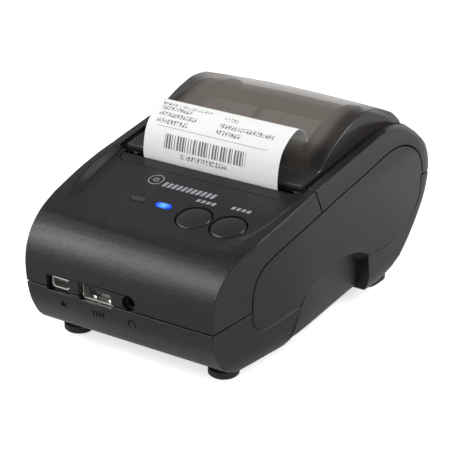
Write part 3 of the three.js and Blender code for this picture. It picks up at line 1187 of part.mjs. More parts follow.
function button(x) {
  const cap = new THREE.LatheGeometry([
    [0, STEM_TIP_W], [STEM_RADIUS, STEM_TIP_W], [STEM_RADIUS, CAP_LOW_W], [CAP_FLANGE_RADIUS, CAP_LOW_W],
    [CAP_FLANGE_RADIUS, -WALL - FIT], [BUTTON_RADIUS, -WALL - FIT], [BUTTON_RADIUS, -FIT],
    [BUTTON_RADIUS - FIT, 0], [BUTTON_RADIUS / 2, FIT], [0, FIT + FIT / 2],
  ].map(([u, v]) => new THREE.Vector2(u, v)), 36);
  cap.applyMatrix4(new THREE.Matrix4().makeRotationX(Math.PI / 2));
  cap.translate(x, BUTTON_V, 0);
  return solid(cap, PANEL);
}

function ledLens(x) {
  return prismZ(capsule(x, LED_V, LED_LENGTH, LED_WIDTH), -WALL - OVER / 2, FIT / 2, PANEL);
}

const FOOT_RADIUS = 5.5;
const FRONT_FOOT = [acrossBy(0.687912), alongBy(0.130952)];
const REAR_FOOT = [acrossBy(0.734066), alongBy(0.789216)];
const REAR_FOOT_LENGTH = alongBy(0.115546);

function frontFoot(side) {
  const chamfer = FIT * 2;
  const geometry = new THREE.LatheGeometry([
    [0, 0], [FOOT_RADIUS - chamfer, 0], [FOOT_RADIUS, chamfer], [FOOT_RADIUS, FOOT_HEIGHT - FIT],
    [0, FOOT_HEIGHT - FIT],
  ].map(([u, v]) => new THREE.Vector2(u, v)), 28);
  geometry.applyMatrix4(new THREE.Matrix4().makeRotationX(Math.PI / 2));
  geometry.translate(side * FRONT_FOOT[0], FRONT_FOOT[1], 0);
  return solid(geometry);
}

function rearFoot(side) {
  const [x, y] = REAR_FOOT;
  const outline = capsule(y, 0, REAR_FOOT_LENGTH, 2 * FOOT_RADIUS).map(([v, u]) => [side * x + u, v]);
  return prismZ(outline, 0, FOOT_HEIGHT * 2).subtract(caseForm(-FIT));
}

const CONTACT_X_SHARE = 0.166667;
const CONTACT_WIDTH = 3;

function batteryContact(side) {
  const x = side * CONTACT_X_SHARE * BATTERY_WIDTH;
  const rear = BATTERY_Y - BATTERY_LENGTH / 2 - FIT;
  const half = CONTACT_WIDTH / 2;
  return prismX([
    [rear - OVER, INNER_FLOOR_Z + FIT], [rear - FIT, INNER_FLOOR_Z + FIT], [rear - FIT, INNER_FLOOR_Z + OVER],
    [rear, INNER_FLOOR_Z + OVER * 2], [rear - FIT, INNER_FLOOR_Z + OVER * 3],
    [rear - FIT * 3, INNER_FLOOR_Z + OVER * 3], [rear - FIT * 2, INNER_FLOOR_Z + OVER * 2],
    [rear - FIT * 3, INNER_FLOOR_Z + FIT * 3], [rear - OVER, INNER_FLOOR_Z + FIT * 3],
  ], x - half, x + half);
}

// Assembly: one group for each body that moves as one
const boardTop = BOARD_Z + BOARD_THICKNESS;
const MODULE_SIZE = [16, 18, 2.2];
const MODULE_X = BOARD_HALF / 3;
const MODULE_REAR_Y = BOARD_REAR_Y - BOARD_POST_INSET;
const BUZZER_INSET = 11;
const BUZZER_RADIUS = 4.5;
const BUZZER_X = BUZZER_RADIUS + BOARD_POST_INSET - BOARD_HALF;
const BUZZER_HEIGHT = 4;
const SENSOR_SIZE = [6, 1.6, 1.7];

const base = new THREE.Group();
base.add(
  mesh('lower_case', lowerCase(), BLACK_PLASTIC),
  mesh('upper_case', upperCase(), BLACK_PLASTIC),
  mesh('tear_bar_bezel', tearBarBezel(), BLACK_PLASTIC),
  mesh('tear_bar', tearBar(), STEEL),
  mesh('paper_bay', paperBay(), INNER_PLASTIC),
  mesh('mechanism_frame', mechanismFrame(), INNER_PLASTIC),
  mesh('head_spring_left', headSpring(-1), STEEL),
  mesh('head_spring_right', headSpring(1), STEEL),
  mesh('stepper_motor', motor(), STEEL),
  mesh('main_board', box(-BOARD_HALF, BOARD_HALF, BOARD_FRONT_Y, BOARD_REAR_Y, BOARD_Z, boardTop),
    BOARD_GREEN),
  mesh('wireless_module', box(MODULE_X, MODULE_X + MODULE_SIZE[0], MODULE_REAR_Y - MODULE_SIZE[1],
    MODULE_REAR_Y, SOCKET_BASE_Z, SOCKET_BASE_Z + MODULE_SIZE[2]), STEEL),
  mesh('buzzer', cylinderZ(BUZZER_X, BOARD_REAR_Y - BUZZER_INSET, BUZZER_RADIUS, SOCKET_BASE_Z,
    SOCKET_BASE_Z + BUZZER_HEIGHT), INNER_PLASTIC),
  mesh('mini_usb_socket', socket(MINI_USB_X, MINI_USB_SOCKET.width, MINI_USB_SOCKET.height,
    MINI_USB_SOCKET.wall, MINI_USB_TONGUE, MINI_USB_SOCKET.depth), STEEL),
  mesh('usb_a_socket', socket(USB_A_X, USB_A_SOCKET.width, USB_A_SOCKET.height,
    USB_A_SOCKET.wall, USB_A_TONGUE, USB_A_SOCKET.depth), STEEL),
  mesh('audio_jack', audioJack(), INNER_PLASTIC),
  mesh('key_board', box(KEY_BOARD.left, KEY_BOARD.right, KEY_BOARD.low, KEY_BOARD.high,
    KEY_BOARD_W - BOARD_THICKNESS, KEY_BOARD_W, PANEL), BOARD_GREEN),
  mesh('mode_switch', tactSwitch(BUTTON_CENTRES_X[0]), INNER_PLASTIC),
  mesh('feed_switch', tactSwitch(BUTTON_CENTRES_X[1]), INNER_PLASTIC),
  mesh('status_led_lens', ledLens(LED_CENTRES_X[0]), LED_DIM),
  mesh('power_led_lens', ledLens(LED_CENTRES_X[1]), LED_BLUE),
  mesh('battery_pack', box(-BATTERY_WIDTH / 2, BATTERY_WIDTH / 2, BATTERY_Y - BATTERY_LENGTH / 2,
    BATTERY_Y + BATTERY_LENGTH / 2, FLOOR_Z, BATTERY_TOP_Z), BATTERY_BLUE),
  mesh('battery_contact_left', batteryContact(-1), BRASS),
  mesh('battery_contact_right', batteryContact(1), BRASS),
  mesh('front_foot_left', frontFoot(-1), RUBBER),
  mesh('front_foot_right', frontFoot(1), RUBBER),
  mesh('rear_foot_left', rearFoot(-1), RUBBER),
  mesh('rear_foot_right', rearFoot(1), RUBBER),
  mesh('paper_sensor', box(SENSOR_SIZE[0], SENSOR_SIZE[0] * 2, HEAD_REAR_Y + FIT,
    HEAD_REAR_Y + FIT + SENSOR_SIZE[1], FRAME_Z + FRAME_PLATE + TIGHT,
    FRAME_Z + FRAME_PLATE + TIGHT + SENSOR_SIZE[2]), INNER_PLASTIC),
  mesh('paper_web', paperWeb(), PAPER),
);

BOSS_PLACES.forEach(([side, y], i) => {
  base.add(screw(side * BOSS_X, y, SCREW_HEAD_Z, SCREW_HEAD_HEIGHT, SCREW_HEAD_RADIUS, SCREW_SHANK_RADIUS,
    BOSS_TOP_Z + SCREW_GRIP, STEEL, `case_screw_${i + 1}`));
});
const earTop = FRAME_Z + FRAME_PLATE + TIGHT;
mirrored((side) => base.add(screw(side * MECHANISM_POST_X, MECHANISM_POST_Y, earTop + SCREW_HEAD_HEIGHT / 2,
  -SCREW_HEAD_HEIGHT / 2, SCREW_HEAD_RADIUS - FIT, SCREW_SHANK_RADIUS, FRAME_Z - SCREW_GRIP, STEEL,
  side < 0 ? 'mechanism_screw_left' : 'mechanism_screw_right')));

const PIN_REACH = KNUCKLE_WIDTH / 2 + KNUCKLE_GAP + LID_KNUCKLE_WIDTH;
const hingePin = (side) => cylinderX(HINGE_Y, HINGE_Z, HINGE_PIN_RADIUS, side * KNUCKLE_X - PIN_REACH,
  side * KNUCKLE_X + PIN_REACH, 16);
const bushing = (side) => {
  const near = side * (FRAME_SIDE_X - FIT * 2);
  const far = side * (CARRIER_X + CARRIER_WIDTH + FIT / 2);
  return tube(PLATEN_Y, PLATEN_Z, BUSHING_RADIUS, SHAFT_RADIUS + FIT, Math.min(near, far),
    Math.max(near, far), 24);
};

const lid = new THREE.Group();
lid.add(
  mesh('lid_frame', lidFrame(), BLACK_PLASTIC),
  mesh('smoke_window', smokeWindow(), SMOKE),
  mesh('hinge_pin_left', hingePin(-1), STEEL),
  mesh('hinge_pin_right', hingePin(1), STEEL),
  mesh('platen_bushing_left', bushing(-1), WHITE_PLASTIC),
  mesh('platen_bushing_right', bushing(1), WHITE_PLASTIC),
  mesh('receipt', receipt(), PAPER),
);

const platen = new THREE.Group();
platen.add(
  mesh('platen_shaft', cylinderX(PLATEN_Y, PLATEN_Z, SHAFT_RADIUS, -CARRIER_X - CARRIER_WIDTH - OVER / 2,
    SMALL_GEAR_X + GEAR_FACE + TIGHT, 20), STEEL),
  mesh('platen_rubber', tube(PLATEN_Y, PLATEN_Z, PLATEN_RADIUS, SHAFT_RADIUS + FIT, -PAPER_WIDTH / 2 - FIT,
    PAPER_WIDTH / 2 + FIT), RUBBER),
  mesh('platen_gear', platenGear(), WHITE_PLASTIC),
);
lid.add(platen);

const roll = new THREE.Group();
roll.add(
  mesh('paper_roll', tube(ROLL_Y, ROLL_Z, ROLL_RADIUS, ROLL_CORE_RADIUS + FIT, -PAPER_WIDTH / 2,
    PAPER_WIDTH / 2, 48), PAPER),
  mesh('roll_core', tube(ROLL_Y, ROLL_Z, ROLL_CORE_RADIUS, ROLL_CORE_RADIUS - ROLL_CORE_WALL,
    -PAPER_WIDTH / 2, PAPER_WIDTH / 2, 24), CARD),
);

const printer = new THREE.Group();
printer.add(
  base,
  lid,
  roll,
  mesh('print_head', printHead(), ALUMINIUM),
  mesh('motor_pinion', motorPinion(), BRASS),
  mesh('reduction_gear', reductionGear(), WHITE_PLASTIC),
  mesh('mode_button', button(BUTTON_CENTRES_X[0]), BLACK_PLASTIC),
  mesh('feed_button', button(BUTTON_CENTRES_X[1]), BLACK_PLASTIC),
  mesh('battery_door', batteryDoor(), BLACK_PLASTIC),
);
printer.position.y = -LENGTH / 2;

export default printer;
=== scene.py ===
# Portable receipt printer: camera, studio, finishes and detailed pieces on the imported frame
import math

import bpy
from mathutils import Matrix, Vector


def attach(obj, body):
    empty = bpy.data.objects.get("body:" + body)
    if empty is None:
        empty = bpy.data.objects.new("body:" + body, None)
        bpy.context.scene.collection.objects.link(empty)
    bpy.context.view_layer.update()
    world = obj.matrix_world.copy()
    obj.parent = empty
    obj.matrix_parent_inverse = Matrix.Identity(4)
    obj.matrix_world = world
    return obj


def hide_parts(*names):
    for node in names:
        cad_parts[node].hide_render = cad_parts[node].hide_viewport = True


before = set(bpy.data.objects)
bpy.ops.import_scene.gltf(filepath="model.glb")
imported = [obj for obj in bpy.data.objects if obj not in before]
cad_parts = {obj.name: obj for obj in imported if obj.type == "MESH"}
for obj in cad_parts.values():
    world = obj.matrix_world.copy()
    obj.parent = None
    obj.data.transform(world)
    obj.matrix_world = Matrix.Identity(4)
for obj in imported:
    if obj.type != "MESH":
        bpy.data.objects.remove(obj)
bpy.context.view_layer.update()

# Lengths are in millimetres, and times MM for Blender. Side views are drawn from the nose to the rear.
MM = 0.001


def node_box(name):
    """The lowest and the highest corner of a CAD node."""
    corners = [Vector(corner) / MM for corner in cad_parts[name].bound_box]
    return Vector([min(axis) for axis in zip(*corners)]), Vector([max(axis) for axis in zip(*corners)])


NOSE_Y = node_box("upper_case")[0].y

# Control panel: a plane that climbs to the rear from the middle of its front edge
PANEL_FROM_NOSE = 12
PANEL_HEIGHT = 45.9
PANEL_TILT = 0.2137
PANEL_FRONT = Vector((0, NOSE_Y + PANEL_FROM_NOSE, PANEL_HEIGHT))
UP_SLOPE = Vector((0, math.cos(PANEL_TILT), math.sin(PANEL_TILT)))
OUT_OF_PANEL = Vector((0, -math.sin(PANEL_TILT), math.cos(PANEL_TILT)))


def panel_point(x, climb, out=0.0):
    """The place that lies so far across the panel, up its slope and out of it."""
    return (PANEL_FRONT + Vector((x, 0, 0)) + UP_SLOPE * climb + OUT_OF_PANEL * out) * MM


def panel_middle(name):
    """How far across the panel and up its slope the middle of a CAD node lies."""
    places = [vertex.co / MM - PANEL_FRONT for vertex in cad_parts[name].data.vertices]
    climbs = [place.dot(UP_SLOPE) for place in places]
    low, high = node_box(name)
    return (low.x + high.x) / 2, (min(climbs) + max(climbs)) / 2


# Working in Blender as by hand

def deselect():
    if bpy.context.object and bpy.context.object.mode != "OBJECT":
        bpy.ops.object.mode_set(mode="OBJECT")
    bpy.ops.object.select_all(action="DESELECT")


def pick(*pieces):
    deselect()
    for piece in pieces:
        piece.select_set(True)
    bpy.context.view_layer.objects.active = pieces[0]


def edit_all():
    bpy.ops.object.mode_set(mode="EDIT")
    bpy.ops.mesh.select_all(action="SELECT")


def leave_edit():
    bpy.ops.object.mode_set(mode="OBJECT")


def leave_edit_outwards():
    """End an edit with all faces pointing outwards."""
    bpy.ops.mesh.select_all(action="SELECT")
    bpy.ops.mesh.normals_make_consistent(inside=False)
    leave_edit()


def smooth_below(degrees):
    bpy.ops.object.shade_smooth_by_angle(angle=math.radians(degrees))


# Camera, solved from the edges of the case, the buttons and the feet

CAMERA_TURN = 0.5945488
CAMERA_RISE = 0.4054063
CAMERA_DISTANCE = 677.705
CAMERA_AIM = Vector((0, -10.9, 30))
AIM_TO_RIGHT = 3.28377
AIM_UPWARD = 2.27023
FOCAL_PIXELS = 1871.52
PICTURE_PIXELS = 452
SENSOR_WIDTH = 36
NEAREST_SEEN = 10


def add_camera():
    level = Vector((math.sin(CAMERA_TURN), -math.cos(CAMERA_TURN), 0))
    right = Vector((math.cos(CAMERA_TURN), math.sin(CAMERA_TURN), 0))
    back = level * math.cos(CAMERA_RISE) + Vector((0, 0, math.sin(CAMERA_RISE)))
    up = back.cross(right)
    eye = CAMERA_AIM + right * AIM_TO_RIGHT + up * AIM_UPWARD + back * CAMERA_DISTANCE
    deselect()
    bpy.ops.object.camera_add(location=eye * MM)
    camera = bpy.context.object
    camera.name = "camera"
    camera.rotation_euler = Matrix((right, up, back)).transposed().to_euler()
    camera.data.sensor_width = SENSOR_WIDTH
    camera.data.lens = SENSOR_WIDTH * FOCAL_PIXELS / PICTURE_PIXELS
    camera.data.clip_start = NEAREST_SEEN * MM
    bpy.context.scene.camera = camera
    bpy.context.scene.view_settings.view_transform = "Standard"


add_camera()


# Material helpers

class Shader:
    """A node material that ends in the principled shader and has its patterns on Object coordinates."""

    def __init__(self, name, colour, roughness, **sockets):
        self.material = bpy.data.materials.new(name)
        self.material.use_nodes = True
        self.nodes = self.material.node_tree.nodes
        self.links = self.material.node_tree.links
        self.end = self.nodes["Principled BSDF"]
        self.end.inputs["Base Color"].default_value = (*colour, 1)
        self.end.inputs["Roughness"].default_value = roughness
        for socket, value in sockets.items():
            self.end.inputs[socket.replace("_", " ")].default_value = value
        coordinates = self.nodes.new("ShaderNodeTexCoord").outputs
        self.place = coordinates["Object"]
        self.own_map = coordinates["UV"]

    def add(self, kind, inputs=None, **settings):
        node = self.nodes.new("ShaderNode" + kind)
        for key, value in settings.items():
            setattr(node, key, value)
        for key, value in (inputs or {}).items():
            if isinstance(value, bpy.types.NodeSocket):
                self.links.new(value, node.inputs[key])
            else:
                node.inputs[key].default_value = value
        return node

    def drive(self, socket, value):
        self.links.new(value, self.end.inputs[socket])

    def noise(self, scale, detail=3, roughness=0.6, place=None):
        settings = {"Vector": place or self.place, "Scale": scale, "Detail": detail, "Roughness": roughness}
        return self.add("TexNoise", settings).outputs["Fac"]

    def spread(self, value, low, high, from_low=0.35, from_high=0.65):
        """From low to high as the value climbs through a span, which is a noise's middle if none is given."""
        settings = {"Value": value, "From Min": from_low, "From Max": from_high}
        settings.update({"To Min": low, "To Max": high})
        return self.add("MapRange", settings).outputs["Result"]

    def mix(self, share, first, second):
        node = self.add("Mix", data_type="RGBA")
        for index, value in ((0, share), (6, first), (7, second)):
            if isinstance(value, bpy.types.NodeSocket):
                self.links.new(value, node.inputs[index])
            else:
                node.inputs[index].default_value = (*value, 1)
        return node.outputs[2]

    def bump(self, height, strength, depth):
        settings = {"Height": height, "Strength": strength, "Distance": depth * MM}
        return self.add("Bump", settings).outputs["Normal"]

    def math(self, operation, first, second=0.0):
        return self.add("Math", {0: first, 1: second}, operation=operation).outputs[0]

    def both(self, first, second):
        return self.math("MULTIPLY", first, second)

    def either(self, first, second):
        return self.math("MAXIMUM", first, second)

    def below(self, value, limit):
        return self.math("LESS_THAN", value, limit)

    def between(self, value, low, high):
        return self.both(self.math("GREATER_THAN", value, low), self.below(value, high))

    def step(self, value, pitch):
        """The number of the step that the value is on."""
        return self.math("FLOOR", self.math("DIVIDE", value, pitch))


# The grain of the moulded plastic: how deep it is, and how far it mottles the colour
CASE_GRAIN, BUTTON_GRAIN = 0.15, 0.05
GRAIN_DARK, GRAIN_PALE = 0.55, 1.65


def grained_plastic(name, colour, roughness, grain_depth):
    shader = Shader(name, colour, roughness, Specular_IOR_Level=0.24)
    grain = shader.noise(scale=3000, detail=2, roughness=0.5)
    cloud = shader.noise(scale=30, detail=2, roughness=0.5)
    dark = tuple(channel * GRAIN_DARK for channel in colour)
    pale = tuple(channel * GRAIN_PALE for channel in colour)
    shader.drive("Base Color", shader.mix(shader.spread(grain, 0, 1, 0.36, 0.64), dark, pale))
    shader.drive("Roughness", shader.spread(cloud, roughness - 0.03, roughness + 0.04))
    shader.drive("Normal", shader.bump(grain, 0.7, grain_depth))
    return shader.material


def smooth_plastic(name, colour, roughness, **sockets):
    shader = Shader(name, colour, roughness, **sockets)
    cloud = shader.noise(scale=140, detail=3, roughness=0.5)
    shader.drive("Roughness", shader.spread(cloud, roughness * 0.85, roughness * 1.2))
    shader.drive("Normal", shader.bump(cloud, 0.2, 0.02))
    return shader.material


def metal(name, colour, roughness):
    """Metal with fine drawn lines."""
    shader = Shader(name, colour, roughness, Metallic=1.0)
    drawn = shader.add("Mapping", {"Vector": shader.place, "Scale": (1, 40, 1)}).outputs["Vector"]
    lines = shader.noise(scale=900, detail=3, roughness=0.6, place=drawn)
    shader.drive("Roughness", shader.spread(lines, roughness * 0.75, roughness * 1.3))
    shader.drive("Normal", shader.bump(lines, 0.15, 0.01))
    return shader.material


def rubber():
    shader = Shader("black_rubber", (0.008, 0.008, 0.0085), 0.75)
    grain = shader.noise(scale=1800)
    shader.drive("Roughness", shader.spread(grain, 0.68, 0.85))
    shader.drive("Normal", shader.bump(grain, 0.4, 0.04))
    return shader.material


def board():
    """Green board whose tracks run between its cells."""
    shader = Shader("green_board", (0.02, 0.12, 0.05), 0.35)
    cells = shader.add("TexVoronoi", {"Vector": shader.place, "Scale": 420}, feature="DISTANCE_TO_EDGE")
    track = shader.spread(cells.outputs["Distance"], 0, 1, 0.02, 0.05)
    shader.drive("Base Color", shader.mix(track, (0.03, 0.2, 0.08), (0.015, 0.1, 0.04)))
    shader.drive("Normal", shader.bump(track, 0.2, 0.02))
    return shader.material


def thermal_paper(name):
    """The paper's shader and its fibrous tone, which the print darkens."""
    shader = Shader(name, (0.8, 0.8, 0.79), 0.6, Specular_IOR_Level=0.3)
    fibres = shader.noise(scale=1500, detail=4, roughness=0.7)
    tone = shader.mix(shader.spread(fibres, 0, 1), (0.6, 0.6, 0.595), (0.64, 0.64, 0.635))
    shader.drive("Base Color", tone)
    shader.drive("Normal", shader.bump(fibres, 0.15, 0.02))
    return shader, tone


def card():
    shader = Shader("grey_card", (0.42, 0.33, 0.22), 0.85)
    fibres = shader.noise(scale=900, detail=4, roughness=0.7)
    tone = shader.mix(shader.spread(fibres, 0, 1), (0.36, 0.28, 0.19), (0.48, 0.38, 0.26))
    shader.drive("Base Color", tone)
    shader.drive("Normal", shader.bump(fibres, 0.3, 0.03))
    return shader.material


# Where painted shade darkens the smoke window and it grows more opaque: towards its two ends and down its
# front foot
END_STARTS, END_SHADED = 28.5, 33.5
FOOT_SHADED, FOOT_STARTS = 58.5, 64


def smoke_plastic():
    """Clear smoke plastic, seen through less where its ends and its foot turn away, and darkened there with
    painted shade.
    """
    shader = Shader("smoke_window_plastic", (0.11, 0.096, 0.085), 0.12, Specular_IOR_Level=0.2)
    place = shader.add("SeparateXYZ", {"Vector": shader.place}).outputs
    across = shader.math("ABSOLUTE", place["X"])
    end = shader.spread(across, 0, 1, END_STARTS * MM, END_SHADED * MM)
    foot = shader.spread(place["Z"], 1, 0, FOOT_SHADED * MM, FOOT_STARTS * MM)
    rim = shader.either(end, foot)
    shader.drive("Alpha", shader.spread(rim, 0.58, 0.82, 0, 1))
    # Painted shade: the colour darkens towards the ends and down the foot
    shader.drive("Base Color", shader.mix(rim, (0.15, 0.13, 0.115), (0.03, 0.027, 0.025)))
    haze = shader.noise(scale=60, detail=3, roughness=0.5)
    shader.drive("Roughness", shader.spread(haze, 0.1, 0.16))
    shader.drive("Normal", shader.bump(haze, 0.06, 0.1))
    return shader.material


# The glow of the lit lens: where its pale core ends, where its deep rim starts, and how uneven that is
GLOW_CORE, GLOW_RIM, GLOW_HAZE = 0.5, 2.6, 0.6


def lit_lens():
    shader = Shader("lit_blue_lens", (0.02, 0.06, 0.6), 0.25, Emission_Strength=1.6)
    middle = panel_point(*panel_middle("power_led_lens"))
    reach = shader.add("VectorMath", {0: shader.place, 1: middle}, operation="DISTANCE").outputs["Value"]
    haze = shader.math("MULTIPLY", shader.noise(scale=900, detail=2), GLOW_HAZE * MM)
    rim = shader.spread(shader.math("ADD", reach, haze), 0, 1, GLOW_CORE * MM, GLOW_RIM * MM)
    shader.drive("Emission Color", shader.mix(rim, (0.1, 0.34, 1.0), (0.0, 0.03, 0.62)))
    return shader.material


# Finishes

CASE_PLASTIC = grained_plastic("black_case_plastic", (0.0098, 0.0098, 0.0114), 0.31, CASE_GRAIN)
BUTTON_PLASTIC = grained_plastic("button_plastic", (0.0135, 0.0135, 0.0142), 0.36, BUTTON_GRAIN)
INNER_PLASTIC = smooth_plastic("inner_black_plastic", (0.009, 0.009, 0.0095), 0.4)
WHITE_GEAR_PLASTIC = smooth_plastic("white_gear_plastic", (0.76, 0.74, 0.68), 0.42)
PORT_GREY = smooth_plastic("grey_port_plastic", (0.045, 0.045, 0.045), 0.5)
SMOKE = smoke_plastic()
SMOKE_RIB = smooth_plastic("smoke_rib_plastic", (0.02, 0.018, 0.016), 0.3)
BLUE_LENS = lit_lens()
DARK_LENS = smooth_plastic("unlit_lens", (0.03, 0.03, 0.031), 0.3)
BRIGHT_STEEL = metal("bright_steel", (0.62, 0.62, 0.63), 0.28)
PLATED_STEEL = metal("plated_steel", (0.72, 0.71, 0.69), 0.22)
SHIELD_STEEL = metal("bright_shield_steel", (0.85, 0.83, 0.78), 0.38)
SATIN_ALUMINIUM = metal("satin_aluminium", (0.72, 0.73, 0.74), 0.38)
YELLOW_BRASS = metal("yellow_brass", (0.78, 0.56, 0.22), 0.3)
RUBBER = rubber()
PAPER = thermal_paper("thermal_paper")[0].material
CARD = card()
GREEN_BOARD = board()
BATTERY_WRAP = smooth_plastic("blue_battery_wrap", (0.035, 0.1, 0.3), 0.3)
MARK_INK = smooth_plastic("grey_marking_ink", (0.22, 0.23, 0.24), 0.5)
# Near black: the moulded marks on the nose, and the painted shade round the buttons
DARK_MARK_AND_SHADE = smooth_plastic("dark_mark_and_painted_shade", (0.002, 0.002, 0.002), 0.8, Specular_IOR_Level=0.05)


def pair(name):
    return [name + "_left", name + "_right"]


NODE_FINISH = {
    CASE_PLASTIC: ["lower_case", "upper_case", "tear_bar_bezel", "lid_frame", "battery_door"],
    BUTTON_PLASTIC: ["mode_button", "feed_button"],
    INNER_PLASTIC: ["paper_bay", "mechanism_frame", "buzzer", "audio_jack", "mode_switch", "feed_switch",
                    "paper_sensor"],
    WHITE_GEAR_PLASTIC: ["platen_gear", "reduction_gear", *pair("platen_bushing")],
    SMOKE: ["smoke_window"],
    BLUE_LENS: ["power_led_lens"],
    DARK_LENS: ["status_led_lens"],
    BRIGHT_STEEL: ["tear_bar", "stepper_motor", "platen_shaft", "wireless_module", *pair("head_spring"),
                   *pair("hinge_pin"), *pair("mechanism_screw"), *(f"case_screw_{i}" for i in range(1, 5))],
    PLATED_STEEL: ["mini_usb_socket", "usb_a_socket"],
    SATIN_ALUMINIUM: ["print_head"],
    YELLOW_BRASS: ["motor_pinion", *pair("battery_contact")],
    RUBBER: ["platen_rubber", *pair("front_foot"), *pair("rear_foot")],
    PAPER: ["paper_roll", "paper_web", "receipt"],
    CARD: ["roll_core"],
    GREEN_BOARD: ["main_board", "key_board"],
    BATTERY_WRAP: ["battery_pack"],
}


def finish_nodes():
    for finish, names in NODE_FINISH.items():
        for name in names:
            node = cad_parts[name]
            for slot in node.material_slots:
                slot.material = finish
            pick(node)
            smooth_below(30)


finish_nodes()


# Making pieces

def settle(piece, name, body, slot, finish, *nodes):
    """Name a finished piece, give it its finish and tie it to the frame."""
    pick(piece)
    bpy.ops.object.transform_apply(location=True, rotation=True, scale=True)
    piece.name = name
    piece.data.name = name
    piece.data.materials.clear()
    piece.data.materials.append(finish)
    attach(piece, body)
    if nodes:
        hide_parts(*nodes)


def apply_modifier(piece, kind, **settings):
    pick(piece)
    modifier = piece.modifiers.new(kind.lower(), kind)
    for key, value in settings.items():
        setattr(modifier, key, value)
    bpy.ops.object.modifier_apply(modifier=modifier.name)


def smooth_line(points, steps):
    """A line through the points, each stretch of it curved as the points beside it lead."""
    line = []
    for i in range(len(points) - 1):
        before = Vector(points[max(0, i - 1)])
        start, end = Vector(points[i]), Vector(points[i + 1])
        after = Vector(points[min(len(points) - 1, i + 2)])
        for k in range(steps):
            t = k / steps
            line.append(start * (2 * t**3 - 3 * t**2 + 1) + end * (3 * t**2 - 2 * t**3)
                        + (end - before) / 2 * (t**3 - 2 * t**2 + t) + (after - start) / 2 * (t**3 - t**2))
    line.append(Vector(points[-1]))
    return line


def side_strip(line, left, right):
    """A strip from left to right whose side view is the line, extruded edge by edge."""
    deselect()
    bpy.ops.mesh.primitive_plane_add(size=1)
    strip = bpy.context.object
    bpy.ops.object.mode_set(mode="EDIT")
    bpy.ops.mesh.delete(type="ONLY_FACE")
    leave_edit()
    for edge in strip.data.edges:
        edge.select = all(strip.data.vertices[v].co.y > 0 for v in edge.vertices)
    bpy.ops.object.mode_set(mode="EDIT")
    bpy.ops.mesh.select_all(action="INVERT")
    bpy.ops.mesh.delete(type="EDGE")
    leave_edit()
    for vertex in strip.data.vertices:
        side = left if vertex.co.x < 0 else right
        vertex.co = Vector((side, NOSE_Y + line[0].x, line[0].y)) * MM
    edit_all()
    for before, after in zip(line, line[1:]):
        step = after - before
        bpy.ops.mesh.extrude_edges_move(TRANSFORM_OT_translate={"value": (0, step.x * MM, step.y * MM)})
    leave_edit()
    return strip


# Receipt: a thin printed strip from the slot, curled back over the window

RECEIPT_WIDTH = 57.5
RECEIPT_LENGTH = 42.1
PAPER_THICKNESS = 0.12
CURL_STEPS = 4
CURL = [(57.5, 48), (57.5, 50.5), (56.2, 53), (55.6, 56), (55.8, 60.1), (56.97, 64.72), (59.13, 68.14),
        (62.66, 70.88), (66.58, 72.59), (69.52, 72.84), (72.26, 71.39), (74.22, 69.17), (75.2, 66.43)]

# Each area is given by its left and right, across from the middle, and its ends, along from the slot
PRINT_ROWS = [(-27.3, -6, 29.2, 30.6), (-26.5, -13, 26.8, 28.7), (-25.9, -9.8, 24, 25.9),
              (-25.5, -12, 21.1, 23), (0.3, 6, 27.8, 29.6), (0.2, 23, 24.4, 26.3), (0.2, 10.5, 21.6, 23.5),
              (-12.4, 7.4, 9.6, 11.5)]
CELL_WIDTH, CELL_HEIGHT, CELL_INKED_SHARE = 0.325, 0.475, 0.56
LETTER_PITCH, LETTER_WIDTH = 1.3, 0.975
DOTTED_LINE = (-25, 22.5, 19.9, 20.2)
DOT_PITCH, DOT_WIDTH = 0.9, 0.55
BAR_BLOCK = (-19.8, 15, 12.4, 17.7)
BAR_PITCH, BAR_WIDE_SHARE = 0.39, 0.5
INK_STRENGTH = 0.86

# Letters and bars, and dots, are counted from a place left of the strip, so no number on it is negative
PRINT_START, DOTS_START = -39, -40


def printed_paper():
    """Thermal print: rows of cells that are inked at random, a dotted line and a block of bars."""
    shader, tone = thermal_paper("printed_receipt_paper")
    own_map = shader.add("SeparateXYZ", {"Vector": shader.own_map}).outputs
    across = shader.math("MULTIPLY", own_map["X"], RECEIPT_WIDTH)
    across = shader.math("SUBTRACT", across, RECEIPT_WIDTH / 2)
    along = shader.math("MULTIPLY", own_map["Y"], RECEIPT_LENGTH)

    def area(left, right, start, end):
        return shader.both(shader.between(across, left, right), shader.between(along, start, end))

    def at_random(pitch_across, pitch_along, share):
        steps = {"X": shader.step(across, pitch_across), "Y": shader.step(along, pitch_along)}
        cell = shader.add("CombineXYZ", steps).outputs[0]
        return shader.below(shader.add("TexWhiteNoise", {"Vector": cell}).outputs["Value"], share)

    def repeated(start, pitch, width):
        place = shader.math("MODULO", shader.math("SUBTRACT", across, start), pitch)
        return shader.below(place, width)

    letters = repeated(PRINT_START, LETTER_PITCH, LETTER_WIDTH)
    cells = shader.both(at_random(CELL_WIDTH, CELL_HEIGHT, CELL_INKED_SHARE), letters)
    ink = shader.both(area(*DOTTED_LINE), repeated(DOTS_START, DOT_PITCH, DOT_WIDTH))
    for row in PRINT_ROWS:
        ink = shader.either(ink, shader.both(area(*row), cells))

    # Of three steps across the block of bars the first is black, the second may be, and the last is white
    step = shader.step(shader.math("SUBTRACT", across, PRINT_START), BAR_PITCH)
    third = shader.math("MODULO", step, 3)
    widened = at_random(BAR_PITCH, RECEIPT_LENGTH * 2, BAR_WIDE_SHARE)
    bars = shader.either(shader.below(third, 0.5), shader.both(shader.below(third, 1.5), widened))
    ink = shader.either(ink, shader.both(area(*BAR_BLOCK), bars))
    darkness = shader.math("MULTIPLY", ink, INK_STRENGTH)
    shader.drive("Base Color", shader.mix(darkness, tone, (0.03, 0.03, 0.035)))
    return shader.material


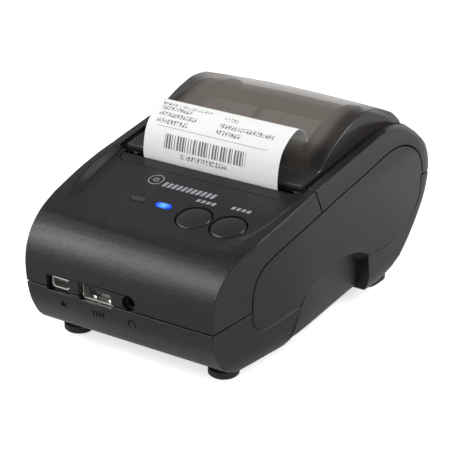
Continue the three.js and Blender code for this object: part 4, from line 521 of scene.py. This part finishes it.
def add_receipt():
    line = smooth_line(CURL, CURL_STEPS)
    strip = side_strip(line, -RECEIPT_WIDTH / 2, RECEIPT_WIDTH / 2)
    travelled = [0]
    for before, after in zip(line, line[1:]):
        travelled.append(travelled[-1] + (after - before).length)
    own_map = strip.data.uv_layers.active or strip.data.uv_layers.new(name="UVMap")
    for loop in strip.data.loops:
        x, y, z = strip.data.vertices[loop.vertex_index].co / MM
        spot = Vector((y - NOSE_Y, z))
        nearest = min(range(len(line)), key=lambda i: (line[i] - spot).length)
        own_map.data[loop.index].uv = (x / RECEIPT_WIDTH + 0.5, travelled[nearest] / RECEIPT_LENGTH)
    apply_modifier(strip, "SOLIDIFY", thickness=PAPER_THICKNESS * MM, offset=0)
    settle(strip, "printed_receipt", "lid", "paper", printed_paper(), "receipt")
    smooth_below(30)


add_receipt()


# Case mouldings, lid and buttons: the CAD forms with their edges rounded

# Corners nearer than this are merged, and faces that turn by fewer degrees are made one
MERGE_DISTANCE = 0.04
FLAT_BELOW = 0.6

# Edges that turn by more degrees than these are rounded, the lower value on forms with softer creases
SHARP, SOFT_CREASE = 35, 25
CASE_ROUNDING, BEZEL_ROUNDING, WINDOW_ROUNDING, BUTTON_ROUNDING = 0.3, 0.2, 0.5, 0.45

# How far out of the form a corner may lie after that, as a share of the rounding
THROWN_SHARE = 0.7


def pull_back(piece, form, rounding):
    """Bring corners that the rounding threw clear of the form back onto it."""
    for vertex in piece.data.vertices:
        found, nearest, normal, face = form.closest_point_on_mesh(vertex.co)
        if found and (vertex.co - nearest).length > rounding * THROWN_SHARE * MM:
            vertex.co = nearest


def rounded_copy(node, rounding, body, slot, finish, segments=2, sharp=SHARP):
    """The moulding on a CAD node: its form, rounded at the edges that turn by more than the sharp angle."""
    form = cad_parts[node]
    piece = bpy.data.objects.new(node + "_moulding", form.data.copy())
    bpy.context.scene.collection.objects.link(piece)
    pick(piece)
    edit_all()
    bpy.ops.mesh.remove_doubles(threshold=MERGE_DISTANCE * MM)
    bpy.ops.mesh.dissolve_limited(angle_limit=math.radians(FLAT_BELOW))
    leave_edit()
    apply_modifier(piece, "BEVEL", width=rounding * MM, segments=segments, limit_method="ANGLE",
                   angle_limit=math.radians(sharp), use_clamp_overlap=False)
    pull_back(piece, form, rounding)
    settle(piece, node + "_moulding", body, slot, finish, node)
    smooth_below(32)
    apply_modifier(piece, "WEIGHTED_NORMAL", keep_sharp=True, weight=80)


rounded_copy("lower_case", CASE_ROUNDING, "base", "case_plastic", CASE_PLASTIC)
rounded_copy("upper_case", CASE_ROUNDING, "base", "case_plastic", CASE_PLASTIC, sharp=SOFT_CREASE)
rounded_copy("lid_frame", CASE_ROUNDING, "lid", "case_plastic", CASE_PLASTIC, sharp=SOFT_CREASE)
rounded_copy("tear_bar_bezel", BEZEL_ROUNDING, "base", "case_plastic", CASE_PLASTIC)
rounded_copy("smoke_window", WINDOW_ROUNDING, "lid", "smoke_plastic", SMOKE, segments=3)
rounded_copy("mode_button", BUTTON_ROUNDING, "mode", "case_plastic", BUTTON_PLASTIC, segments=4)
rounded_copy("feed_button", BUTTON_ROUNDING, "feed", "case_plastic", BUTTON_PLASTIC, segments=4)


# Ports: shields, collars, tongues and contacts of the two sockets, and the sleeves of the round jack

SHIELD_FRONT = 2.1
COLLAR_FRONT, COLLAR_DEPTH = 2.4, 3.7
SHIELD_GAP = 0.05
CORNER_STEPS = 4
CIRCLE_SIDES = 32


def port_middle(node, height):
    """The middle of a port, across and upward, that is so high and ends at the top of its CAD socket."""
    low, high = node_box(node)
    return Vector(((low.x + high.x) / 2, high.z - height / 2))


def direction(degrees):
    return Vector((math.cos(math.radians(degrees)), math.sin(math.radians(degrees))))


def box_outline(port, width, height, upper, lower, cut_off=False):
    """The outline of a box round the port's middle: corners rounded, or the lower two cut off."""
    points = []
    for across, upward, start in ((1, 1, 0), (-1, 1, 90), (-1, -1, 180), (1, -1, 270)):
        radius = upper if upward > 0 else lower
        middle = port + Vector((across * (width / 2 - radius), upward * (height / 2 - radius)))
        for k in range(CORNER_STEPS):
            share = k / (CORNER_STEPS - 1)
            arm = direction(start + 90 * share)
            if cut_off and upward < 0:
                arm = direction(start).lerp(direction(start + 90), share)
            points.append(middle + arm * radius)
    return points


def round_outline(port, radius):
    return [port + direction(360 * i / CIRCLE_SIDES) * radius for i in range(CIRCLE_SIDES)]


def add_tube(name, outer, inner, front, depth, slot, finish, *nodes):
    """A straight tube between two outlines of as many points, its front at that distance from the nose."""
    deselect()
    bpy.ops.mesh.primitive_circle_add(vertices=len(outer), radius=1)
    tube = bpy.context.object
    edit_all()
    bpy.ops.mesh.extrude_edges_move(TRANSFORM_OT_translate={"value": (0, 0, 1)})
    leave_edit()
    for vertex in tube.data.vertices:
        turn = math.atan2(vertex.co.y, vertex.co.x) / (2 * math.pi) * len(outer)
        point = (inner if vertex.co.z > 0.5 else outer)[round(turn) % len(outer)]
        vertex.co = Vector((point.x, NOSE_Y + front, point.y)) * MM
    edit_all()
    bpy.ops.mesh.extrude_region_move(TRANSFORM_OT_translate={"value": (0, depth * MM, 0)})
    leave_edit_outwards()
    settle(tube, name, "base", slot, finish, *nodes)
    smooth_below(40)


def add_block(name, port, spans, slot, finish, *nodes, soften=0.08):
    """A soft-edged block: spans across and upward from the port's middle, the one between from the nose."""
    across, from_nose, upward = spans
    middle = Vector((port.x + sum(across) / 2, NOSE_Y + sum(from_nose) / 2, port.y + sum(upward) / 2))
    deselect()
    bpy.ops.mesh.primitive_cube_add(size=1, location=middle * MM)
    block = bpy.context.object
    block.scale = [(end - start) * MM for start, end in spans]
    bpy.ops.object.transform_apply(location=True, rotation=True, scale=True)
    apply_modifier(block, "BEVEL", width=soften * MM, segments=2)
    settle(block, name, "base", slot, finish, *nodes)
    smooth_below(40)


def add_mini_usb():
    width, height, wall, shield_depth = 7.7, 3.9, 0.35, 9.8
    corner, cut, bore_corner, bore_cut = 0.5, 1.1, 0.3, 0.9
    opening_width, opening_height, opening_corner = 9.6, 5.8, 0.3
    port = port_middle("mini_usb_socket", height)
    back = (-3.3, 3.3), (5.2, 11.5), (-1.5, 1.5)
    tongue = (-2.3, 2.3), (3, 5.3), (-0.1, 0.75)
    contact = (-0.2, 0.2), (3.1, 5.3), (0.7, 0.9)
    contact_pitch = 0.8

    def shell(growth, upper, lower):
        return box_outline(port, width + 2 * growth, height + 2 * growth, upper, lower, cut_off=True)

    opening = box_outline(port, opening_width, opening_height, opening_corner, opening_corner)
    add_tube("mini_usb_shield", shell(0, corner, cut), shell(-wall, bore_corner, bore_cut),
             SHIELD_FRONT, shield_depth, "steel", SHIELD_STEEL, "mini_usb_socket")
    add_tube("mini_usb_collar", opening, shell(SHIELD_GAP, corner, cut), COLLAR_FRONT, COLLAR_DEPTH,
             "inner_plastic", INNER_PLASTIC)
    add_block("mini_usb_back", port, back, "inner_plastic", INNER_PLASTIC)
    add_block("mini_usb_tongue", port, tongue, "inner_plastic", PORT_GREY)
    for i in range(5):
        place = port + Vector(((i - 2) * contact_pitch, 0))
        add_block(f"mini_usb_contact_{i + 1}", place, contact, "steel", PLATED_STEEL, soften=0.03)


def add_usb_a():
    width, height, wall, shield_depth = 13.1, 5.7, 0.5, 14.8
    corner, bore_corner = 0.6, 0.3
    opening_width, opening_height, opening_corner = 13.5, 6.1, 0.4
    port = port_middle("usb_a_socket", height)
    back = (-6, 6), (5.2, 16.5), (-2.3, 2.3)
    tongue = (-5.5, 5.5), (3.2, 5.3), (0.1, 1.95)
    contact = (-0.5, 0.5), (3.6, 5.3), (-0.15, 0.12)
    contact_pitch = 2.4
    spring = (-0.7, 0.7), (3.8, 5.3), (-2.35, -1.9)
    spring_pitch = 6.4

    def shell(growth, radius):
        return box_outline(port, width + 2 * growth, height + 2 * growth, radius, radius)

    opening = box_outline(port, opening_width, opening_height, opening_corner, opening_corner)
    add_tube("usb_a_shield", shell(0, corner), shell(-wall, bore_corner), SHIELD_FRONT, shield_depth,
             "steel", SHIELD_STEEL, "usb_a_socket")
    add_tube("usb_a_collar", opening, shell(SHIELD_GAP, corner), COLLAR_FRONT, COLLAR_DEPTH,
             "inner_plastic", INNER_PLASTIC)
    add_block("usb_a_back", port, back, "inner_plastic", INNER_PLASTIC)
    add_block("usb_a_tongue", port, tongue, "inner_plastic", INNER_PLASTIC)
    for i in range(4):
        place = port + Vector(((i - 1.5) * contact_pitch, 0))
        add_block(f"usb_a_contact_{i + 1}", place, contact, "brass", YELLOW_BRASS, soften=0.05)
    for i in range(2):
        place = port + Vector(((i - 0.4) * spring_pitch, 0))
        add_block(f"usb_a_spring_{i + 1}", place, spring, "steel", PLATED_STEEL, soften=0.1)


def add_jack():
    barrel_radius, barrel_bore, barrel_front, barrel_depth = 2.35, 1.95, 1.9, 6.2
    sleeve_radius, sleeve_bore, sleeve_front, sleeve_depth = 1.9, 1.7, 6.2, 0.8
    body_side, body_under = 3.2, 4.2
    body = (-body_side, body_side), (8, 15), (-body_under, body_side)
    port = port_middle("audio_jack", body_side * 2)
    add_tube("jack_barrel", round_outline(port, barrel_radius), round_outline(port, barrel_bore),
             barrel_front, barrel_depth, "inner_plastic", INNER_PLASTIC)
    add_tube("jack_sleeve", round_outline(port, sleeve_radius), round_outline(port, sleeve_bore),
             sleeve_front, sleeve_depth, "steel", PLATED_STEEL)
    add_block("jack_body", port, body, "inner_plastic", INNER_PLASTIC, "audio_jack", soften=0.2)


add_mini_usb()
add_usb_a()
add_jack()


# Inner ribs of the smoke window: two arcs near its ends and a short one in its middle

WINDOW_SIDE_VIEW = [(67.0, 58.84), (70.7, 60.1), (75.3, 63.8), (80.0, 66.3), (84.7, 68.3), (89.5, 70.0),
                    (93.4, 70.9), (98.9, 72.0), (107.7, 71.2), (118.1, 66.9), (122.3, 64.4)]
WINDOW_STEPS = 4
RIB_BELOW_SKIN = 0.9


def add_rib(name, x, width, depth, first, last):
    """A rib under the window's skin, between two distances from the nose."""
    skin = [point for point in smooth_line(WINDOW_SIDE_VIEW, WINDOW_STEPS) if first <= point.x <= last]
    top = [point - Vector((0, RIB_BELOW_SKIN)) for point in skin]
    rib = side_strip(top, x - width / 2, x + width / 2)
    pick(rib)
    edit_all()
    bpy.ops.mesh.extrude_region_move(TRANSFORM_OT_translate={"value": (0, 0, -depth * MM)})
    leave_edit_outwards()
    settle(rib, name, "lid", "smoke_plastic", SMOKE_RIB)
    smooth_below(30)


for side, rib_x in (("left", -26.5), ("right", 26.5)):
    add_rib("window_rib_" + side, rib_x, width=0.8, depth=2.6, first=76, last=118)
add_rib("window_rib_middle", -0.8, width=1.0, depth=2.2, first=84, last=99)


# Marks on the control panel: two rings and rows of slanted bars; round each button a dark ring of painted
# shade beside its gap

MARK_LIFT = 0.01
MARK_THICKNESS = 0.02


def bar_row(count, x, climb, pitch, width, height, slant):
    """Thin bars side by side on the panel, each leaning to the right by its slant."""
    bars = []
    for i in range(count):
        deselect()
        bpy.ops.mesh.primitive_plane_add(size=1)
        bar = bpy.context.object
        for vertex in bar.data.vertices:
            across = vertex.co.x * width + vertex.co.y * slant
            vertex.co = panel_point(x + i * pitch + across, climb + vertex.co.y * height, MARK_LIFT)
        bars.append(bar)
    return bars


def panel_ring(x, climb, radius, line, sides):
    deselect()
    bpy.ops.mesh.primitive_circle_add(vertices=sides, radius=1, fill_type="NGON")
    ring = bpy.context.object
    edit_all()
    bpy.ops.mesh.inset(thickness=line / radius, depth=0)
    bpy.ops.mesh.delete(type="FACE")
    leave_edit()
    for vertex in ring.data.vertices:
        vertex.co = panel_point(x + vertex.co.x * radius, climb + vertex.co.y * radius, MARK_LIFT)
    return ring


def join_marks(name, marks, finish, outward):
    """Make one thin piece of flat marks, thickened in the outward direction."""
    pick(*marks)
    bpy.ops.object.join()
    sheet = bpy.context.object
    edit_all()
    thicken = outward * MARK_THICKNESS * MM
    bpy.ops.mesh.extrude_region_move(TRANSFORM_OT_translate={"value": thicken})
    leave_edit_outwards()
    settle(sheet, name, "base", "case_plastic", finish)


def add_panel_marks():
    rings_x, rings_climb = -14.6, 32.6
    rings = [panel_ring(rings_x, rings_climb, radius=3.0, line=0.32, sides=40),
             panel_ring(rings_x, rings_climb, radius=1.1, line=0.4, sides=24)]
    long_bars = bar_row(11, x=-9.6, climb=31.2, pitch=2.05, width=1.25, height=2.9, slant=0.55)
    mode_bars = bar_row(4, x=7.4, climb=27.1, pitch=2.1, width=1.3, height=1.7, slant=0.35)
    feed_bars = bar_row(4, x=21.5, climb=27.9, pitch=2.1, width=1.3, height=1.7, slant=0.35)
    join_marks("panel_marks", rings + long_bars + mode_bars + feed_bars, MARK_INK, OUT_OF_PANEL)


def add_button_surrounds():
    # Painted shade: a dark ring round each button, beside the gap between button and panel
    surrounds = [panel_ring(*panel_middle(button), radius=6.9, line=0.3, sides=60)
                 for button in ("mode_button", "feed_button")]
    join_marks("button_gap_shade", surrounds, DARK_MARK_AND_SHADE, OUT_OF_PANEL)


# Faint marks on the nose under the ports: a triangle, a row of bars and an arch

AHEAD_OF_NOSE = 20
TO_REAR = Vector((0, 1, 0))


def nose_mark(x, z, corners):
    """A flat mark whose corners, given from its middle, lie on the nose."""
    nose = bpy.data.objects["lower_case_moulding"]
    deselect()
    bpy.ops.mesh.primitive_circle_add(vertices=len(corners), radius=1, fill_type="NGON")
    mark = bpy.context.object
    for vertex, (across, upward) in zip(mark.data.vertices, corners):
        start = Vector((x + across, NOSE_Y - AHEAD_OF_NOSE, z + upward)) * MM
        found, place, normal, face = nose.ray_cast(start, TO_REAR)
        vertex.co = place - TO_REAR * MARK_LIFT * MM
    return mark


def box_corners(width, height):
    x, z = width / 2, height / 2
    return [(-x, -z), (x, -z), (x, z), (-x, z)]


def arch_marks(x, z, outer, inner, leg, pieces=6):
    """A half ring of straight pieces on two legs."""
    marks = []
    for i in range(pieces):
        first, second = 180 * i / pieces, 180 * (i + 1) / pieces
        ends = ((inner, first), (outer, first), (outer, second), (inner, second))
        marks.append(nose_mark(x, z, [direction(degrees) * radius for radius, degrees in ends]))
    for side in (-1, 1):
        leg_x = x + side * (outer + inner) / 2
        marks.append(nose_mark(leg_x, z - leg / 2, box_corners(outer - inner, leg)))
    return marks


def add_nose_marks():
    row_z = 18.6
    triangle_x, triangle = -24, [(-1.4, -1.2), (1.4, -1.2), (0, 1.3)]
    bars_x, bar_pitch, bar = -8.6, 1.4, box_corners(width=0.64, height=2.2)
    arch_x = 5.6
    marks = [nose_mark(triangle_x, row_z, triangle)]
    marks += [nose_mark(bars_x + (i - 1.5) * bar_pitch, row_z, bar) for i in range(4)]
    marks += arch_marks(arch_x, row_z, outer=1.7, inner=1.25, leg=1.4)
    join_marks("nose_marks", marks, DARK_MARK_AND_SHADE, -TO_REAR)


add_panel_marks()
add_button_surrounds()
add_nose_marks()


# Floor, backdrop and lamps: places and sizes in metres, the ceiling from 0 at the horizon to 1 overhead

STUDIO_TINT = (0.96, 0.98, 1.0, 1)
STUDIO_LIGHT = 0.22
CEILING_STARTS, CEILING_FULL = 0.3, 0.58
CEILING_TONE = 0.22
FLOOR_SIZE = 8
FLOOR_BELOW_FEET = 0.0002
FLOOR_TONE = 0.5
FLOOR_GLOW = 0.17
FLOOR_GLOW_TO_CAMERA = 0.52


def seen_directly(nodes, links):
    """1 for camera, glossy and transmission rays, and 0 for the rays that light the object."""
    path = nodes.new("ShaderNodeLightPath")
    share = path.outputs["Is Camera Ray"]
    for ray in ("Is Glossy Ray", "Is Transmission Ray"):
        either = nodes.new("ShaderNodeMath")
        either.operation = "MAXIMUM"
        links.new(share, either.inputs[0])
        links.new(path.outputs[ray], either.inputs[1])
        share = either.outputs[0]
    return share


def add_studio():
    """A white studio whose ceiling falls off to grey, dimmed where it lights the object."""
    world = bpy.data.worlds.new("studio")
    world.use_nodes = True
    bpy.context.scene.world = world
    nodes, links = world.node_tree.nodes, world.node_tree.links
    plain, white = nodes["Background"], nodes.new("ShaderNodeBackground")
    plain.inputs["Color"].default_value = STUDIO_TINT
    plain.inputs["Strength"].default_value = STUDIO_LIGHT
    height = nodes.new("ShaderNodeSeparateXYZ")
    links.new(nodes.new("ShaderNodeTexCoord").outputs["Generated"], height.inputs[0])
    ceiling = nodes.new("ShaderNodeMapRange")
    ceiling.inputs["From Min"].default_value = CEILING_STARTS
    ceiling.inputs["From Max"].default_value = CEILING_FULL
    ceiling.inputs["To Min"].default_value = 1
    ceiling.inputs["To Max"].default_value = CEILING_TONE
    links.new(height.outputs["Z"], ceiling.inputs["Value"])
    links.new(ceiling.outputs[0], white.inputs["Color"])
    choice = nodes.new("ShaderNodeMixShader")
    links.new(seen_directly(nodes, links), choice.inputs[0])
    links.new(plain.outputs[0], choice.inputs[1])
    links.new(white.outputs[0], choice.inputs[2])
    links.new(choice.outputs[0], nodes["World Output"].inputs[0])


def add_floor():
    """A pale floor that is white to the camera and keeps the object's shadow."""
    deselect()
    bpy.ops.mesh.primitive_plane_add(size=FLOOR_SIZE, location=(0, 0, -FLOOR_BELOW_FEET))
    floor = bpy.context.object
    floor.name = "floor"
    bpy.ops.object.transform_apply(location=True, rotation=True, scale=True)
    shader = Shader("pale_floor", (FLOOR_TONE, FLOOR_TONE, FLOOR_TONE), 0.9, Specular_IOR_Level=0.0)
    shader.end.inputs["Emission Color"].default_value = (1, 1, 1, 1)
    is_camera = shader.add("LightPath").outputs["Is Camera Ray"]
    to_camera = shader.math("MULTIPLY", is_camera, FLOOR_GLOW_TO_CAMERA)
    to_all = shader.math("MULTIPLY", seen_directly(shader.nodes, shader.links), FLOOR_GLOW)
    shader.drive("Emission Strength", shader.math("ADD", to_camera, to_all))
    floor.data.materials.append(shader.material)


def add_light(name, size, power, place, aim=(0, 0, 0.03)):
    deselect()
    bpy.ops.object.light_add(type="AREA", location=place)
    light = bpy.context.object
    light.name = name
    light.data.shape = "RECTANGLE"
    light.data.size, light.data.size_y = size
    light.data.energy = power
    light.rotation_euler = (Vector(aim) - Vector(place)).to_track_quat("-Z", "Y").to_euler()


add_studio()
add_floor()
add_light("left_softbox", size=(0.85, 0.55), power=16.0, place=(-0.68, -0.56, 0.66))
add_light("front_panel", size=(1.0, 1.0), power=3.6, place=(0.75, -1.0, 0.45))
add_light("right_softbox", size=(0.3, 0.3), power=5.0, place=(0.7, 0.38, 0.42), aim=(0.04, 0.03, 0.03))
add_light("rear_softbox", size=(0.2, 0.2), power=3.4, place=(0.46, 0.42, 0.7))
